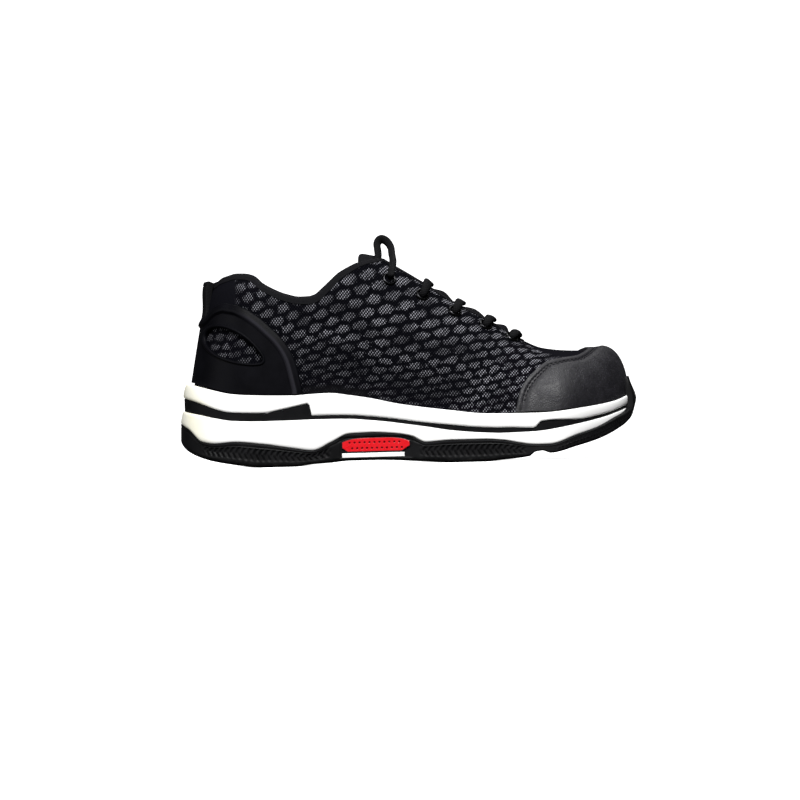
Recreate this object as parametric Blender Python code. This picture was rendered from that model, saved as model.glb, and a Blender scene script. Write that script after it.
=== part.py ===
"""A low safety sneaker, right foot: cup outsole, two midsole foams with a dark plate between them,
arch inserts, hollow upper with toe cap and heel counter, padded tongue, insole, eyelets and laces.

Metres, +X to the toe, +Y to the inner side of the foot, +Z up. The floor is z = 0 and the origin is
the middle of the sole's length and width, on the floor.
"""

import math

import bmesh
import bpy
import numpy as np
from mathutils import Matrix, Vector

# Driving sizes, in metres
SOLE_LENGTH = 0.300
BALL_WIDTH = 0.112
SOLE_HEIGHT = 0.0466
INSTEP_HEIGHT = 0.142
WALL = 0.0024
COLLAR_PAD = 0.0042
COLLAR_ROLL = 0.0018
GAP = 0.0003
EYELET_SEAT = 0.0005
OVERLAY_SEAT = 0.0010

# Sole details
CUP_WALL = 0.0040
LEDGE = 0.0008
BUMPER_TOP = 0.0530
BUMPER_HALF_WIDTH = 0.0190
FOOT_CUP_DEPTH = 0.0050
CUP_FLOOR = 0.0015
RIM_THICKNESS = 0.0030
SIDE_TAPER = 0.0016
HEEL_TAPER = 0.0046
HEEL_LEDGE = 0.0020
PLATE_RECESS = 0.0009
HEEL_WEDGE = 0.0052
HEEL_WEDGE_END = 0.0105
HEEL_WEDGE_BACK = 0.0088
TOE_WEDGE = 0.0060
PLATE_LINE = 0.0023
PLATE_MID = 0.0033
RIB_DEPTH = 0.0009
RIB_LEAN = 0.0030
RIBS_PER_STEP = 4
TREAD_GROOVE_DEPTH = 0.0022
TREAD_GROOVE_WIDTH = 0.0032
SOLE_EDGE = 0.0024

# Arch inserts in the outsole's side
ARCH_BACK = 0.353
ARCH_FRONT = 0.501
INSERT_LOW = 0.0084
INSERT_HIGH = 0.0178
BAR_LOW = 0.0048
BAR_HIGH = 0.0078
BAR_FRONT = 0.488
INSERT_PROUD = 0.0004
BAR_SET_BACK = 0.0004

# Upper overlays
CAP_THICKNESS = 0.0015
COUNTER_THICKNESS = 0.0014
COUNTER_RIB = 0.0014
COUNTER_RIB_WIDTH = 0.0060
TAB_THICKNESS = 0.0016
TAB_HALF_WIDTH = 0.0135
TAB_RISE = 0.0020
TAB_FLARE = 0.0038
WINDOW_LENGTH = 0.0410
WINDOW_HEIGHT = 0.0185
WINDOW_TILT = math.radians(-28)
WINDOW_SHARE = 0.1275
WINDOW_RISE = 0.0785

# Tongue, insole, eyelets and laces
TONGUE_THICKNESS = 0.0052
TONGUE_HALF_WIDTH = 0.0270
TONGUE_CLEAR = 0.0009
TONGUE_DIP = 0.0020
TONGUE_PUFF = 0.0028
TONGUE_TOP = 0.402
TONGUE_ROOT = 0.800
LACE_RADIUS = 0.0018
LACE_BOW = 0.0040
LACE_REST = 0.0007
INSOLE_THICKNESS = 0.0040
EYELET_BORE = 0.0027
EYELET_BARREL = 0.0033
EYELET_FLANGE = 0.0047
EYELET_LIP = 0.0008
EYELET_SIDES = 8
THROAT_HALF_WIDTH = 0.0156
THROAT_END = 0.757
THROAT_ROUND = 0.045
EYELET_SET_BACK = 0.0086
EYELET_SHARES = (0.466, 0.537, 0.606, 0.672, 0.728)

# Plan of the sole: shares of SOLE_LENGTH, then shares of BALL_WIDTH from the axis
PLAN = {
    "share": (0.00, 0.06, 0.16, 0.28, 0.40, 0.52, 0.63, 0.73, 0.82, 0.90, 1.00),
    "outer": (0.37, 0.37, 0.372, 0.372, 0.385, 0.430, 0.480, 0.512, 0.520, 0.500, 0.470),
    "inner": (0.37, 0.37, 0.366, 0.345, 0.325, 0.355, 0.425, 0.475, 0.475, 0.455, 0.430),
    "axis": (0.00, 0.00, 0.00, 0.00, 0.00, 0.00, 0.005, 0.02, 0.035, 0.05, 0.06),
}
HEEL_ROUND = 0.150
TOE_ROUND = 0.190

# Side view of the sole: shares of SOLE_LENGTH, then heights as shares of SOLE_HEIGHT
SIDE = {
    "share": (0.00, 0.02, 0.05, 0.08, 0.12, 0.18, 0.25, 0.29, 0.33, 0.37, 0.42, 0.47, 0.505,
              0.535, 0.59, 0.66, 0.70, 0.735, 0.757, 0.771, 0.787, 0.803, 0.86, 0.91, 0.95,
              0.985, 1.00),
    "ground": (0.350, 0.240, 0.150, 0.095, 0.048, 0.000, 0.000, 0.028, 0.043, 0.062, 0.062, 0.053, 0.038,
               0.024, 0.000, 0.000, 0.020, 0.040, 0.058, 0.118, 0.130, 0.096, 0.180, 0.275, 0.392,
               0.560, 0.780),
    "floor": (0.470, 0.360, 0.257, 0.205, 0.160, 0.118, 0.108, 0.124, 0.150, 0.172, 0.172, 0.161, 0.146,
              0.133, 0.110, 0.110, 0.128, 0.150, 0.162, 0.170, 0.174, 0.178, 0.262, 0.360, 0.472,
              0.640, 0.800),
    "tread": (0.640, 0.555, 0.376, 0.345, 0.360, 0.322, 0.250, 0.215, 0.322, 0.433, 0.442, 0.420, 0.378,
              0.288, 0.308, 0.308, 0.290, 0.247, 0.222, 0.214, 0.212, 0.214, 0.328, 0.429, 0.547,
              0.670, 0.820),
    "plate": (0.826, 0.794, 0.751, 0.704, 0.661, 0.646, 0.648, 0.652, 0.652, 0.646, 0.618, 0.577, 0.541,
              0.511, 0.450, 0.405, 0.393, 0.395, 0.400, 0.403, 0.411, 0.424, 0.487, 0.554, 0.629,
              0.730, 0.840),
    "rim": (1.210, 1.195, 1.145, 1.090, 1.034, 1.006, 0.994, 1.006, 1.013, 0.979, 0.923, 0.848, 0.807,
            0.777, 0.728, 0.672, 0.663, 0.661, 0.659, 0.659, 0.660, 0.664, 0.702, 0.747, 0.798,
            0.890, 0.940),
}

# The last: where each section's crown lies, its height as a share of INSTEP_HEIGHT, the
# squareness of its arch on each side, how far the crown line lies aside as a share of BALL_WIDTH,
# and the share of its lean that is a straight line
LAST = {
    "share": (0.00, 0.06, 0.12, 0.20, 0.30, 0.40, 0.44, 0.48, 0.54, 0.60, 0.66, 0.72, 0.76,
              0.80, 0.86, 0.92, 0.955, 1.00),
    "reach": (0.135, 0.148, 0.178, 0.225, 0.305, 0.400, 0.440, 0.480, 0.540, 0.600, 0.660, 0.720, 0.760,
              0.797, 0.850, 0.893, 0.910, 0.922),
    "crown": (0.955, 0.960, 0.972, 0.993, 1.022, 1.013, 0.985, 0.930, 0.848, 0.760, 0.684, 0.602, 0.546,
              0.514, 0.500, 0.497, 0.497, 0.498),
    "square": (4.0, 3.6, 3.1, 2.8, 2.8, 2.9, 2.9, 2.9, 2.7, 2.45, 2.3, 2.25, 2.3,
               2.35, 2.4, 2.35, 2.3, 2.3),
    "square_inner": (4.0, 3.6, 3.1, 2.9, 3.1, 3.3, 3.4, 3.3, 3.0, 2.7, 2.45, 2.35, 2.35,
                     2.35, 2.4, 2.35, 2.3, 2.3),
    "aside": (0.0, 0.0, 0.0, -0.005, -0.012, -0.018, -0.020, -0.020, -0.018, -0.014, -0.010, -0.004, 0.0,
              0.0, 0.0, 0.0, 0.0, 0.0),
    "lean": (0.48, 0.40, 0.27, 0.16, 0.12, 0.12, 0.14, 0.18, 0.22, 0.24, 0.24, 0.20, 0.15,
             0.10, 0.05, 0.02, 0.00, 0.00),
}

# Collar line: shares of SOLE_LENGTH at the upper's foot, heights as shares of INSTEP_HEIGHT
COLLAR = {
    "share": (0.000, 0.018, 0.041, 0.068, 0.093, 0.118, 0.148, 0.171, 0.193, 0.231, 0.269, 0.289, 0.306,
              0.324, 0.341, 0.359, 0.377, 0.396, 0.414, 0.448, 0.490),
    "height": (0.853, 0.857, 0.874, 0.883, 0.891, 0.890, 0.880, 0.847, 0.822, 0.788, 0.770, 0.771, 0.781,
               0.812, 0.847, 0.884, 0.908, 0.929, 0.940, 0.950, 0.990),
}

# Counter: distance round the heel as a share of SOLE_LENGTH, height above the rim as a share of
# INSTEP_HEIGHT
COUNTER = {
    "round": (0.000, 0.040, 0.067, 0.092, 0.124, 0.145, 0.167, 0.205, 0.237, 0.261, 0.284, 0.297, 0.302),
    "height": (0.307, 0.318, 0.356, 0.386, 0.407, 0.408, 0.398, 0.359, 0.306, 0.256, 0.174, 0.070, 0.015),
}

# Toe cap seam: distance from the toe tip round the upper's foot as a share of SOLE_LENGTH, then
# how far up the section it runs, 1 being the crown
CAP = {
    "round": (0.000, 0.135, 0.155, 0.175, 0.197, 0.239, 0.275, 0.300, 0.322, 0.336, 0.343),
    "climb": (1.000, 1.000, 0.870, 0.740, 0.645, 0.585, 0.498, 0.364, 0.236, 0.120, 0.015),
}

# Lace loops. Where each leg leaves and comes back: a step along the shoe from the top eyelet, a
# share of the way out to it, and a lift over the eyelet's lip, or None for right under the wall
LACE_EXIT = ((0.0000, 1.00, 0.0000), (0.0004, 0.87, 0.0007), (0.0006, 0.70, 0.0010))
LACE_RETURN = ((-0.0062, 0.54, -0.0055), (-0.0078, 0.74, None))
# Steps from the last of those points, towards the toe, the middle and up
LACE_LOOP = {
    "outer": ((-0.0006, 0.0058, 0.0045), (-0.0012, 0.0090, 0.0092), (-0.0038, 0.0110, 0.0134),
              (-0.0076, 0.0117, 0.0149), (-0.0101, 0.0108, 0.0120), (-0.0098, 0.0088, 0.0070)),
    "inner": ((-0.0006, 0.0058, 0.0042), (-0.0012, 0.0086, 0.0086), (-0.0038, 0.0102, 0.0125),
              (-0.0076, 0.0106, 0.0139), (-0.0101, 0.0096, 0.0110), (-0.0097, 0.0080, 0.0062)),
}

SOLE_STATIONS = 68
UPPER_ROWS = 8
ROW_BIAS = 1.5
RIB_ZONES = ((0.055, 0.325), (0.525, 0.745))
TREAD_GROOVES = (0.112, 0.162, 0.218, 0.560, 0.618, 0.706)
FEATURE_SHARES = (0.180, 0.250, 0.284, 0.291, 0.590, 0.660, 0.757, 0.771, 0.787, 0.803)

MATERIALS = {
    "black_rubber": ((0.012, 0.012, 0.013), 0.55, 0.0),
    "white_foam": ((0.82, 0.82, 0.80), 0.50, 0.0),
    "black_foam": ((0.010, 0.010, 0.011), 0.50, 0.0),
    "red_plastic": ((0.78, 0.02, 0.03), 0.35, 0.0),
    "black_mesh": ((0.020, 0.020, 0.024), 0.85, 0.0),
    "black_leather": ((0.022, 0.021, 0.025), 0.42, 0.0),
    "black_plastic": ((0.012, 0.012, 0.014), 0.38, 0.0),
    "black_lining": ((0.016, 0.016, 0.018), 0.90, 0.0),
    "black_webbing": ((0.012, 0.012, 0.013), 0.80, 0.0),
    "eyelet_metal": ((0.030, 0.030, 0.032), 0.25, 0.9),
    "black_lace": ((0.010, 0.010, 0.011), 0.75, 0.0),
}


def clear_scene():
    """Removes every object, so that the part stands alone."""
    for old in list(bpy.data.objects):
        bpy.data.objects.remove(old, do_unlink=True)


def material(name):
    """The Principled material of that name, made once."""
    found = bpy.data.materials.get(name)
    if found:
        return found
    colour, roughness, metallic = MATERIALS[name]
    made = bpy.data.materials.new(name)
    made.use_nodes = True
    shader = made.node_tree.nodes["Principled BSDF"]
    shader.inputs["Base Color"].default_value = (*colour, 1.0)
    shader.inputs["Roughness"].default_value = roughness
    shader.inputs["Metallic"].default_value = metallic
    return made


def smooth(table, column, at, key="share"):
    """The column's value at each place: a cubic through the rows that never overshoots them."""
    x = np.asarray(table[key], float)
    y = np.asarray(table[column], float)
    at = np.clip(np.asarray(at, float), x[0], x[-1])
    step = np.diff(x)
    rise = np.diff(y) / step
    slope = np.zeros(len(x))
    inside = rise[:-1] * rise[1:] > 0
    w1 = 2 * step[1:] + step[:-1]
    w2 = step[1:] + 2 * step[:-1]
    safe = np.where(inside, rise[:-1], 1.0)
    after = np.where(inside, rise[1:], 1.0)
    slope[1:-1] = np.where(inside, (w1 + w2) / (w1 / safe + w2 / after), 0.0)
    slope[0], slope[-1] = rise[0], rise[-1]
    k = np.clip(np.searchsorted(x, at) - 1, 0, len(step) - 1)
    s = (at - x[k]) / step[k]
    return (
        y[k] * (1 + 2 * s) * (1 - s) ** 2
        + slope[k] * step[k] * s * (1 - s) ** 2
        + y[k + 1] * s**2 * (3 - 2 * s)
        + slope[k + 1] * step[k] * s**2 * (s - 1)
    )


def ramp(value, low, high):
    """0 below low, 1 above high, and a smooth step between."""
    t = np.clip((np.asarray(value, float) - low) / (high - low), 0, 1)
    return t * t * (3 - 2 * t)


def share_at(x):
    """Share of the sole's length at x, 0 at the heel end."""
    return np.asarray(x) / SOLE_LENGTH + 0.5


def sole_z(column, x):
    """Height of one line of the sole's side view above the floor, at x."""
    return SOLE_HEIGHT * smooth(SIDE, column, share_at(x))


def raw_plan(turn):
    """Plan of the sole at each turn: 0 at the heel end, outer side to 0.5 at the toe, inner side back.

    Half widths come from the table, and each end is rounded as an ellipse."""
    turn = np.mod(turn, 1.0)
    share = (1 - np.cos(2 * math.pi * turn)) / 2
    heel = np.sqrt(1 - (1 - np.clip(share / HEEL_ROUND, 0, 1)) ** 2)
    toe = np.sqrt(1 - (1 - np.clip((1 - share) / TOE_ROUND, 0, 1)) ** 2)
    outer = smooth(PLAN, "outer", share)
    inner = smooth(PLAN, "inner", share)
    half = np.where(turn <= 0.5, -outer, inner) * heel * toe
    return share, smooth(PLAN, "axis", share) + half


FINE_TURNS = np.linspace(0, 1, 4001)[:-1]
FINE_WIDTHS = raw_plan(FINE_TURNS)[1]
PLAN_MIDDLE = (FINE_WIDTHS.max() + FINE_WIDTHS.min()) / 2
PLAN_SPAN = FINE_WIDTHS.max() - FINE_WIDTHS.min()


def plan(turn):
    """Outline of the sole in metres, centred on its box and filling BALL_WIDTH."""
    share, across = raw_plan(turn)
    return np.stack([(share - 0.5) * SOLE_LENGTH, (across - PLAN_MIDDLE) / PLAN_SPAN * BALL_WIDTH], axis=-1)


def inset(turn, distance):
    """The outline moved inwards, square to itself, by that distance at each turn."""
    small = 1e-4
    along = plan(turn + small) - plan(turn - small)
    along /= np.linalg.norm(along, axis=-1, keepdims=True)
    inward = np.stack([-along[..., 1], along[..., 0]], axis=-1)
    return plan(turn) + inward * np.broadcast_to(distance, np.shape(turn))[..., None]


def toe_nearness(turn, reach):
    """1 at the toe tip and 0 beyond that distance from it across the sole."""
    points = plan(turn)
    from_tip = np.hypot(points[..., 0] - SOLE_LENGTH / 2, points[..., 1] - plan(0.5)[1])
    return 1 - ramp(from_tip, 0.55 * reach, reach)


def heel_nearness(turn, reach):
    """1 at the heel end and 0 beyond that distance from it."""
    points = plan(turn)
    from_end = np.hypot(points[..., 0] + SOLE_LENGTH / 2, points[..., 1] - plan(0.0)[1])
    return 1 - ramp(from_end, 0.3 * reach, reach)


def upper_inset(turn):
    """How far the upper's foot stands inside the sole's outline."""
    return (
        SIDE_TAPER + RIM_THICKNESS + GAP
        + (HEEL_TAPER - SIDE_TAPER) * heel_nearness(turn, 0.35 * SOLE_LENGTH)
        + HEEL_LEDGE * heel_nearness(turn, 0.20 * SOLE_LENGTH)
        + (CUP_WALL + LEDGE - SIDE_TAPER) * toe_nearness(turn, 0.30 * SOLE_LENGTH)
    )


def foam_inset(turn, height_share):
    """Set-back of the midsole's side behind the outline, 0 low on the side and 1 at its rim."""
    taper = SIDE_TAPER + (HEEL_TAPER - SIDE_TAPER) * heel_nearness(turn, 0.35 * SOLE_LENGTH)
    at_toe = CUP_WALL + GAP
    return taper * height_share + (at_toe - taper * height_share) * toe_nearness(turn, 0.30 * SOLE_LENGTH)


def stations():
    """Turns of the columns that every sole piece and the upper share: even along the outline,
    closer round both ends, with one on each feature of the side view."""
    fine = np.linspace(0, 0.5, 2001)
    points = plan(fine)
    length = np.concatenate([[0], np.cumsum(np.linalg.norm(np.diff(points, axis=0), axis=1))])
    half = SOLE_STATIONS // 2
    even = np.interp(np.linspace(0, length[-1], half + 1), length, fine)
    shares = raw_plan(fine)[0]
    features = np.interp(FEATURE_SHARES, shares, fine)
    spacing = length[-1] / half
    place = lambda turn: np.interp(turn, fine, length)
    kept = [e for e in even if np.abs(place(features) - place(e)).min() > 0.42 * spacing or e in (even[0], even[-1])]
    outer = np.array(sorted([*kept, *features]))
    return np.concatenate([outer, 1 - outer[1:-1][::-1]])


TURNS = stations()
COUNT = len(TURNS)
HALF = COUNT // 2


def ring(distance, height):
    """One loop of points: the outline moved in by distance, at height(x) or at a given height."""
    points = inset(TURNS, distance)
    z = height(points[:, 0]) if callable(height) else np.broadcast_to(height, COUNT)
    return np.column_stack([points, z])


def floor_faces(first, upward):
    """Faces that close a loop of COUNT points, each strip joining the outer and inner sides."""
    faces = []
    for j in range(HALF):
        a, b = first + j, first + j + 1
        c, d = first + (COUNT - j - 1) % COUNT, first + (COUNT - j) % COUNT
        face = [a, b, c, d]
        face = [v for k, v in enumerate(face) if v not in face[:k]]
        faces.append(face if upward else face[::-1])
    return faces


def strip_faces(lower, upper):
    """Quads between two loops of COUNT points, given by the index of their first points."""
    return [
        [lower + j, lower + (j + 1) % COUNT, upper + (j + 1) % COUNT, upper + j]
        for j in range(COUNT)
    ]


def add_object(name, points, faces, material_name, sharp=35):
    """A mesh object from points and faces, its faces turned outwards."""
    mesh = bpy.data.meshes.new(name)
    mesh.from_pydata([tuple(p) for p in np.asarray(points, float)], [], faces)
    work = bmesh.new()
    work.from_mesh(mesh)
    bmesh.ops.triangulate(work, faces=work.faces[:])
    bmesh.ops.recalc_face_normals(work, faces=work.faces[:])
    if work.calc_volume(signed=True) < 0:
        bmesh.ops.reverse_faces(work, faces=work.faces[:])
    work.to_mesh(mesh)
    work.free()
    mesh.materials.append(material(material_name))
    mesh.shade_smooth()
    mesh.set_sharp_from_angle(angle=math.radians(sharp))
    made = bpy.data.objects.new(name, mesh)
    bpy.context.scene.collection.objects.link(made)
    return made


def loft(name, rings, material_name):
    """A closed solid through loops of points, from its bottom loop to its top one."""
    points = np.concatenate(rings)
    faces = floor_faces(0, upward=False)
    for k in range(len(rings) - 1):
        faces += strip_faces(k * COUNT, (k + 1) * COUNT)
    faces += floor_faces((len(rings) - 1) * COUNT, upward=True)
    return add_object(name, points, faces, material_name)


def cut(target, cutter):
    """Takes the cutter out of the target with a Boolean, and hides the cutter."""
    cutter.hide_render = True
    cutter.display_type = "WIRE"
    bite = target.modifiers.new("cut_" + cutter.name, "BOOLEAN")
    bite.operation = "DIFFERENCE"
    bite.object = cutter


def box_object(name, low, high, material_name="black_rubber"):
    """A plain box between two corners."""
    corners = [(x, y, z) for x in (low[0], high[0]) for y in (low[1], high[1]) for z in (low[2], high[2])]
    faces = [[0, 1, 3, 2], [4, 6, 7, 5], [0, 4, 5, 1], [2, 3, 7, 6], [0, 2, 6, 4], [1, 5, 7, 3]]
    return add_object(name, corners, faces, material_name)


def rib_ring(distance, height, lean):
    """A loop that also has the side ribs' points: in each rib zone every step between columns is
    split, and the ribs stand out at every second point. Lean moves the points along the side."""
    base = ring(distance, height)
    sunk = ring(np.broadcast_to(distance, COUNT) + RIB_DEPTH, height)
    points, owners = [], []
    for j in range(COUNT):
        after = (j + 1) % COUNT
        shares = share_at(np.array([base[j, 0], base[after, 0]]))
        inside = any(low <= shares.min() and shares.max() <= high for low, high in RIB_ZONES)
        points.append(base[j])
        owners.append(j)
        if inside:
            for k in range(1, RIBS_PER_STEP):
                t = k / RIBS_PER_STEP
                source = sunk if k % 2 else base
                point = source[j] * (1 - t) + source[after] * t
                point[0] += lean
                points.append(point)
                owners.append(j)
    return np.array(points), np.array(owners)


def fan_faces(plain_first, ribbed_first, owners, ribbed_above):
    """Faces between a plain loop and a ribbed one: a polygon for each step between columns."""
    faces = []
    count = len(owners)
    starts = [int(np.flatnonzero(owners == j)[0]) for j in range(COUNT)] + [count]
    for j in range(COUNT):
        fine = [ribbed_first + k % count for k in range(starts[j], starts[j + 1] + 1)]
        plain = [plain_first + j, plain_first + (j + 1) % COUNT]
        face = plain + fine[::-1] if ribbed_above else fine + plain[::-1]
        faces.append(face)
    return faces


def side_slab(name, low, high, back, front, inner_depth, outer_depth, side, material_name, steps=8):
    """A slab in the sole's side between two shares of the length: its faces lie at two depths
    behind the outline, and its lower and upper edges are heights or functions of x."""
    fine = np.linspace(0, 0.5, 2001)
    turns = np.interp(np.linspace(back, front, steps + 1), raw_plan(fine)[0], fine)
    turns = turns if side == "outer" else 1 - turns
    rows = []
    for depth in (outer_depth, inner_depth):
        points = inset(turns, depth)
        for edge in (low, high):
            z = edge(points[:, 0]) if callable(edge) else np.full(len(turns), edge)
            rows.append(np.column_stack([points, z]))
    n = steps + 1
    faces = []
    for j in range(steps):
        for a, b in ((0, 1), (1, 3), (3, 2), (2, 0)):
            faces.append([a * n + j, a * n + j + 1, b * n + j + 1, b * n + j])
    for j in (0, steps):
        faces.append([j, n + j, 3 * n + j, 2 * n + j])
    return add_object(name, np.concatenate(rows), faces, material_name)


def insert_top(x):
    """Upper edge of the arch insert, a shallow arc with its ends drawn down."""
    t = (share_at(x) - ARCH_BACK) / (ARCH_FRONT - ARCH_BACK)
    return INSERT_HIGH - 0.0028 * (2 * t - 1) ** 4


def insert_bottom(x):
    """Lower edge of the arch insert, raised towards its front end."""
    t = (share_at(x) - ARCH_BACK) / (ARCH_FRONT - ARCH_BACK)
    return INSERT_LOW + 0.0030 * ramp(t, 0.86, 1.0) + 0.0024 * (1 - ramp(t, 0.0, 0.1))


def make_outsole():
    """The rubber cup: ribbed sides, a rim round the foam's foot, and the bumper over the toe."""
    def part_way(t):
        return lambda x: sole_z("ground", x) * (1 - t) + sole_z("tread", x) * t

    bumper = toe_nearness(TURNS, BUMPER_HALF_WIDTH * 1.25) * BUMPER_TOP

    def rim(points):
        tread = sole_z("tread", points[:, 0])
        return np.maximum(tread, bumper)

    bottom = ring(SOLE_EDGE, lambda x: sole_z("ground", x))
    low, owners = rib_ring(0.0003, part_way(0.22), 0.0)
    middle, _ = rib_ring(0.0, part_way(0.55), -RIB_LEAN)
    high, _ = rib_ring(0.0, part_way(0.88), 0.0)
    outer_top = ring(0.0005, 0.0)
    outer_top[:, 2] = rim(outer_top)
    inner_top = ring(CUP_WALL, 0.0)
    inner_top[:, 2] = np.maximum(sole_z("tread", inner_top[:, 0]), bumper)
    cup = ring(CUP_WALL, lambda x: sole_z("floor", x))

    rings = [bottom, low, middle, high, outer_top, inner_top, cup]
    first = np.concatenate([[0], np.cumsum([len(r) for r in rings])]).tolist()
    ribbed = len(owners)
    faces = floor_faces(first[0], upward=False)
    faces += fan_faces(first[0], first[1], owners, ribbed_above=True)
    for k in (1, 2):
        faces += [
            [first[k] + j, first[k] + (j + 1) % ribbed, first[k + 1] + (j + 1) % ribbed, first[k + 1] + j]
            for j in range(ribbed)
        ]
    faces += fan_faces(first[4], first[3], owners, ribbed_above=False)
    faces += strip_faces(first[4], first[5])
    faces += strip_faces(first[5], first[6])
    faces += floor_faces(first[6], upward=True)
    outsole = add_object("outsole", np.concatenate(rings), faces, "black_rubber", sharp=25)

    for n, share in enumerate(TREAD_GROOVES):
        x = (share - 0.5) * SOLE_LENGTH
        top = float(sole_z("ground", x)) + TREAD_GROOVE_DEPTH
        groove = box_object(
            f"groove_cutter_{n}",
            (x - TREAD_GROOVE_WIDTH / 2, -BALL_WIDTH, -0.01),
            (x + TREAD_GROOVE_WIDTH / 2, BALL_WIDTH, top),
        )
        cut(outsole, groove)
    for side in ("outer", "inner"):
        pocket = side_slab(
            f"arch_pocket_{side}", lambda x: insert_bottom(x) - GAP, lambda x: insert_top(x) + GAP,
            ARCH_BACK - 0.001, ARCH_FRONT + 0.001, CUP_WALL + 0.002, -0.003, side, "black_rubber",
        )
        cut(outsole, pocket)
        slot = side_slab(
            f"bar_pocket_{side}", BAR_LOW - GAP, BAR_HIGH + GAP,
            ARCH_BACK - 0.001, BAR_FRONT + 0.001, 0.5 * CUP_WALL, -0.003, side, "black_rubber",
        )
        cut(outsole, slot)
    return outsole


def make_arch_inserts():
    """Red insert and white bar in each side of the arch, seated in the outsole's pockets."""
    for side in ("outer", "inner"):
        side_slab(
            f"arch_insert_{side}", insert_bottom, insert_top, ARCH_BACK, ARCH_FRONT,
            CUP_WALL - GAP, -INSERT_PROUD, side, "red_plastic",
        )
        side_slab(
            f"arch_bar_{side}", BAR_LOW, BAR_HIGH, ARCH_BACK, BAR_FRONT,
            0.5 * CUP_WALL - GAP, BAR_SET_BACK, side, "white_foam",
        )


def plate_top(x):
    """Top of the dark plate: a thin line, thicker under the ball, with a wedge under the heel that
    ends in a step and a shorter wedge under the toes."""
    share = share_at(x)
    line = PLATE_LINE + (PLATE_MID - PLATE_LINE) * (ramp(share, 0.52, 0.60) - ramp(share, 0.71, 0.765))
    heel = HEEL_WEDGE + (HEEL_WEDGE_END - HEEL_WEDGE) * np.clip((share - 0.192) / 0.092, 0, 1)
    heel = heel + (HEEL_WEDGE_BACK - HEEL_WEDGE) * (1 - ramp(share, 0.0, 0.11))
    toe = PLATE_LINE + (TOE_WEDGE - PLATE_LINE) * (1 - ramp(share, 0.795, 0.885))
    toe = toe - 0.25 * PLATE_LINE * ramp(share, 0.88, 0.95)
    thick = np.where(share <= 0.2845, heel, np.where(share > 0.7711, toe, line))
    return sole_z("plate", x) + thick


def cup_floor(x):
    """Floor of the cup that holds the upper's foot and the insole, clear of the plate below it."""
    return np.maximum(sole_z("rim", x) - FOOT_CUP_DEPTH, plate_top(x) + GAP + CUP_FLOOR)


def make_midsole():
    """Two foams with the dark plate between them. The lower foam fills the outsole's cup and
    the upper one holds the foot of the upper."""
    plug = CUP_WALL + GAP
    lower = [
        ring(plug, lambda x: sole_z("floor", x) + GAP),
        ring(plug, lambda x: sole_z("tread", x) + GAP),
        ring(foam_inset(TURNS, 0.05), lambda x: sole_z("tread", x) + GAP),
        ring(foam_inset(TURNS, 0.45), lambda x: sole_z("plate", x)),
    ]
    loft("midsole_lower", lower, "white_foam")

    plate_side = foam_inset(TURNS, 0.45) + PLATE_RECESS
    plate = [
        ring(plate_side, lambda x: sole_z("plate", x) + GAP),
        ring(plate_side, plate_top),
    ]
    loft("midsole_plate", plate, "black_foam")

    cup_side = upper_inset(TURNS) - GAP

    def swell(x):
        return (plate_top(x) + sole_z("rim", x)) / 2

    upper = [
        ring(foam_inset(TURNS, 0.50), lambda x: plate_top(x) + GAP),
        ring(foam_inset(TURNS, 0.62), swell),
        ring(foam_inset(TURNS, 1.0), lambda x: sole_z("rim", x)),
        ring(cup_side, lambda x: sole_z("rim", x)),
        ring(cup_side, cup_floor),
    ]
    loft("midsole_upper", upper, "white_foam")


def arch_fraction(climb, square, lean):
    """Section of the last: height share and inward share at each climb, 0 at the foot, 1 at the crown."""
    angle = np.clip(climb, 0, 1) * math.pi / 2
    height = np.sin(angle) ** (2 / square)
    inward = lean * height + (1 - lean) * (1 - np.cos(angle) ** (2 / square))
    return height, inward


def last_point(turn, climb, lift=0.0):
    """Point of the upper's outer surface, lifted square to it.

    Each section runs from the upper's foot to the crown line as a superellipse, part of whose
    inward lean is a straight line."""
    turn, climb = np.broadcast_arrays(np.asarray(turn, float), np.asarray(climb, float))

    def surface(turn, climb):
        foot = inset(turn, upper_inset(turn))
        share = raw_plan(turn)[0]
        base = sole_z("rim", foot[..., 0])
        crown_x = (smooth(LAST, "reach", share) - 0.5) * SOLE_LENGTH
        aside = smooth(PLAN, "axis", smooth(LAST, "reach", share)) + smooth(LAST, "aside", share)
        crown_y = BALL_WIDTH * (aside - PLAN_MIDDLE)
        crown_z = INSTEP_HEIGHT * smooth(LAST, "crown", share)
        square = np.where(
            np.mod(turn, 1.0) <= 0.5, smooth(LAST, "square", share), smooth(LAST, "square_inner", share)
        )
        height, inward = arch_fraction(climb, square, smooth(LAST, "lean", share))
        x = foot[..., 0] + (crown_x - foot[..., 0]) * inward
        y = foot[..., 1] + (crown_y - foot[..., 1]) * inward
        z = base + (crown_z - base) * height
        return np.stack([x, y, z], axis=-1)

    point = surface(turn, climb)
    if np.all(lift == 0):
        return point
    low, high = np.clip(climb - 0.004, 0.002, 1), np.clip(climb + 0.004, 0.002, 0.998)
    up = surface(turn, high) - surface(turn, np.minimum(low, high - 0.004))
    inner = np.minimum(climb, 0.97)
    along = surface(turn + 0.0008, inner) - surface(turn - 0.0008, inner)
    normal = np.cross(along, up)
    normal /= np.linalg.norm(normal, axis=-1, keepdims=True)
    return point + normal * np.broadcast_to(lift, climb.shape)[..., None]


def solve_climb(turn, over):
    """The climb at which over(point) first turns positive on each section, or 1."""
    low, high = np.zeros(len(turn)), np.ones(len(turn))
    for _ in range(26):
        middle = (low + high) / 2
        beyond = over(last_point(turn, middle)) > 0
        high = np.where(beyond, middle, high)
        low = np.where(beyond, low, middle)
    return (low + high) / 2


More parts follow.
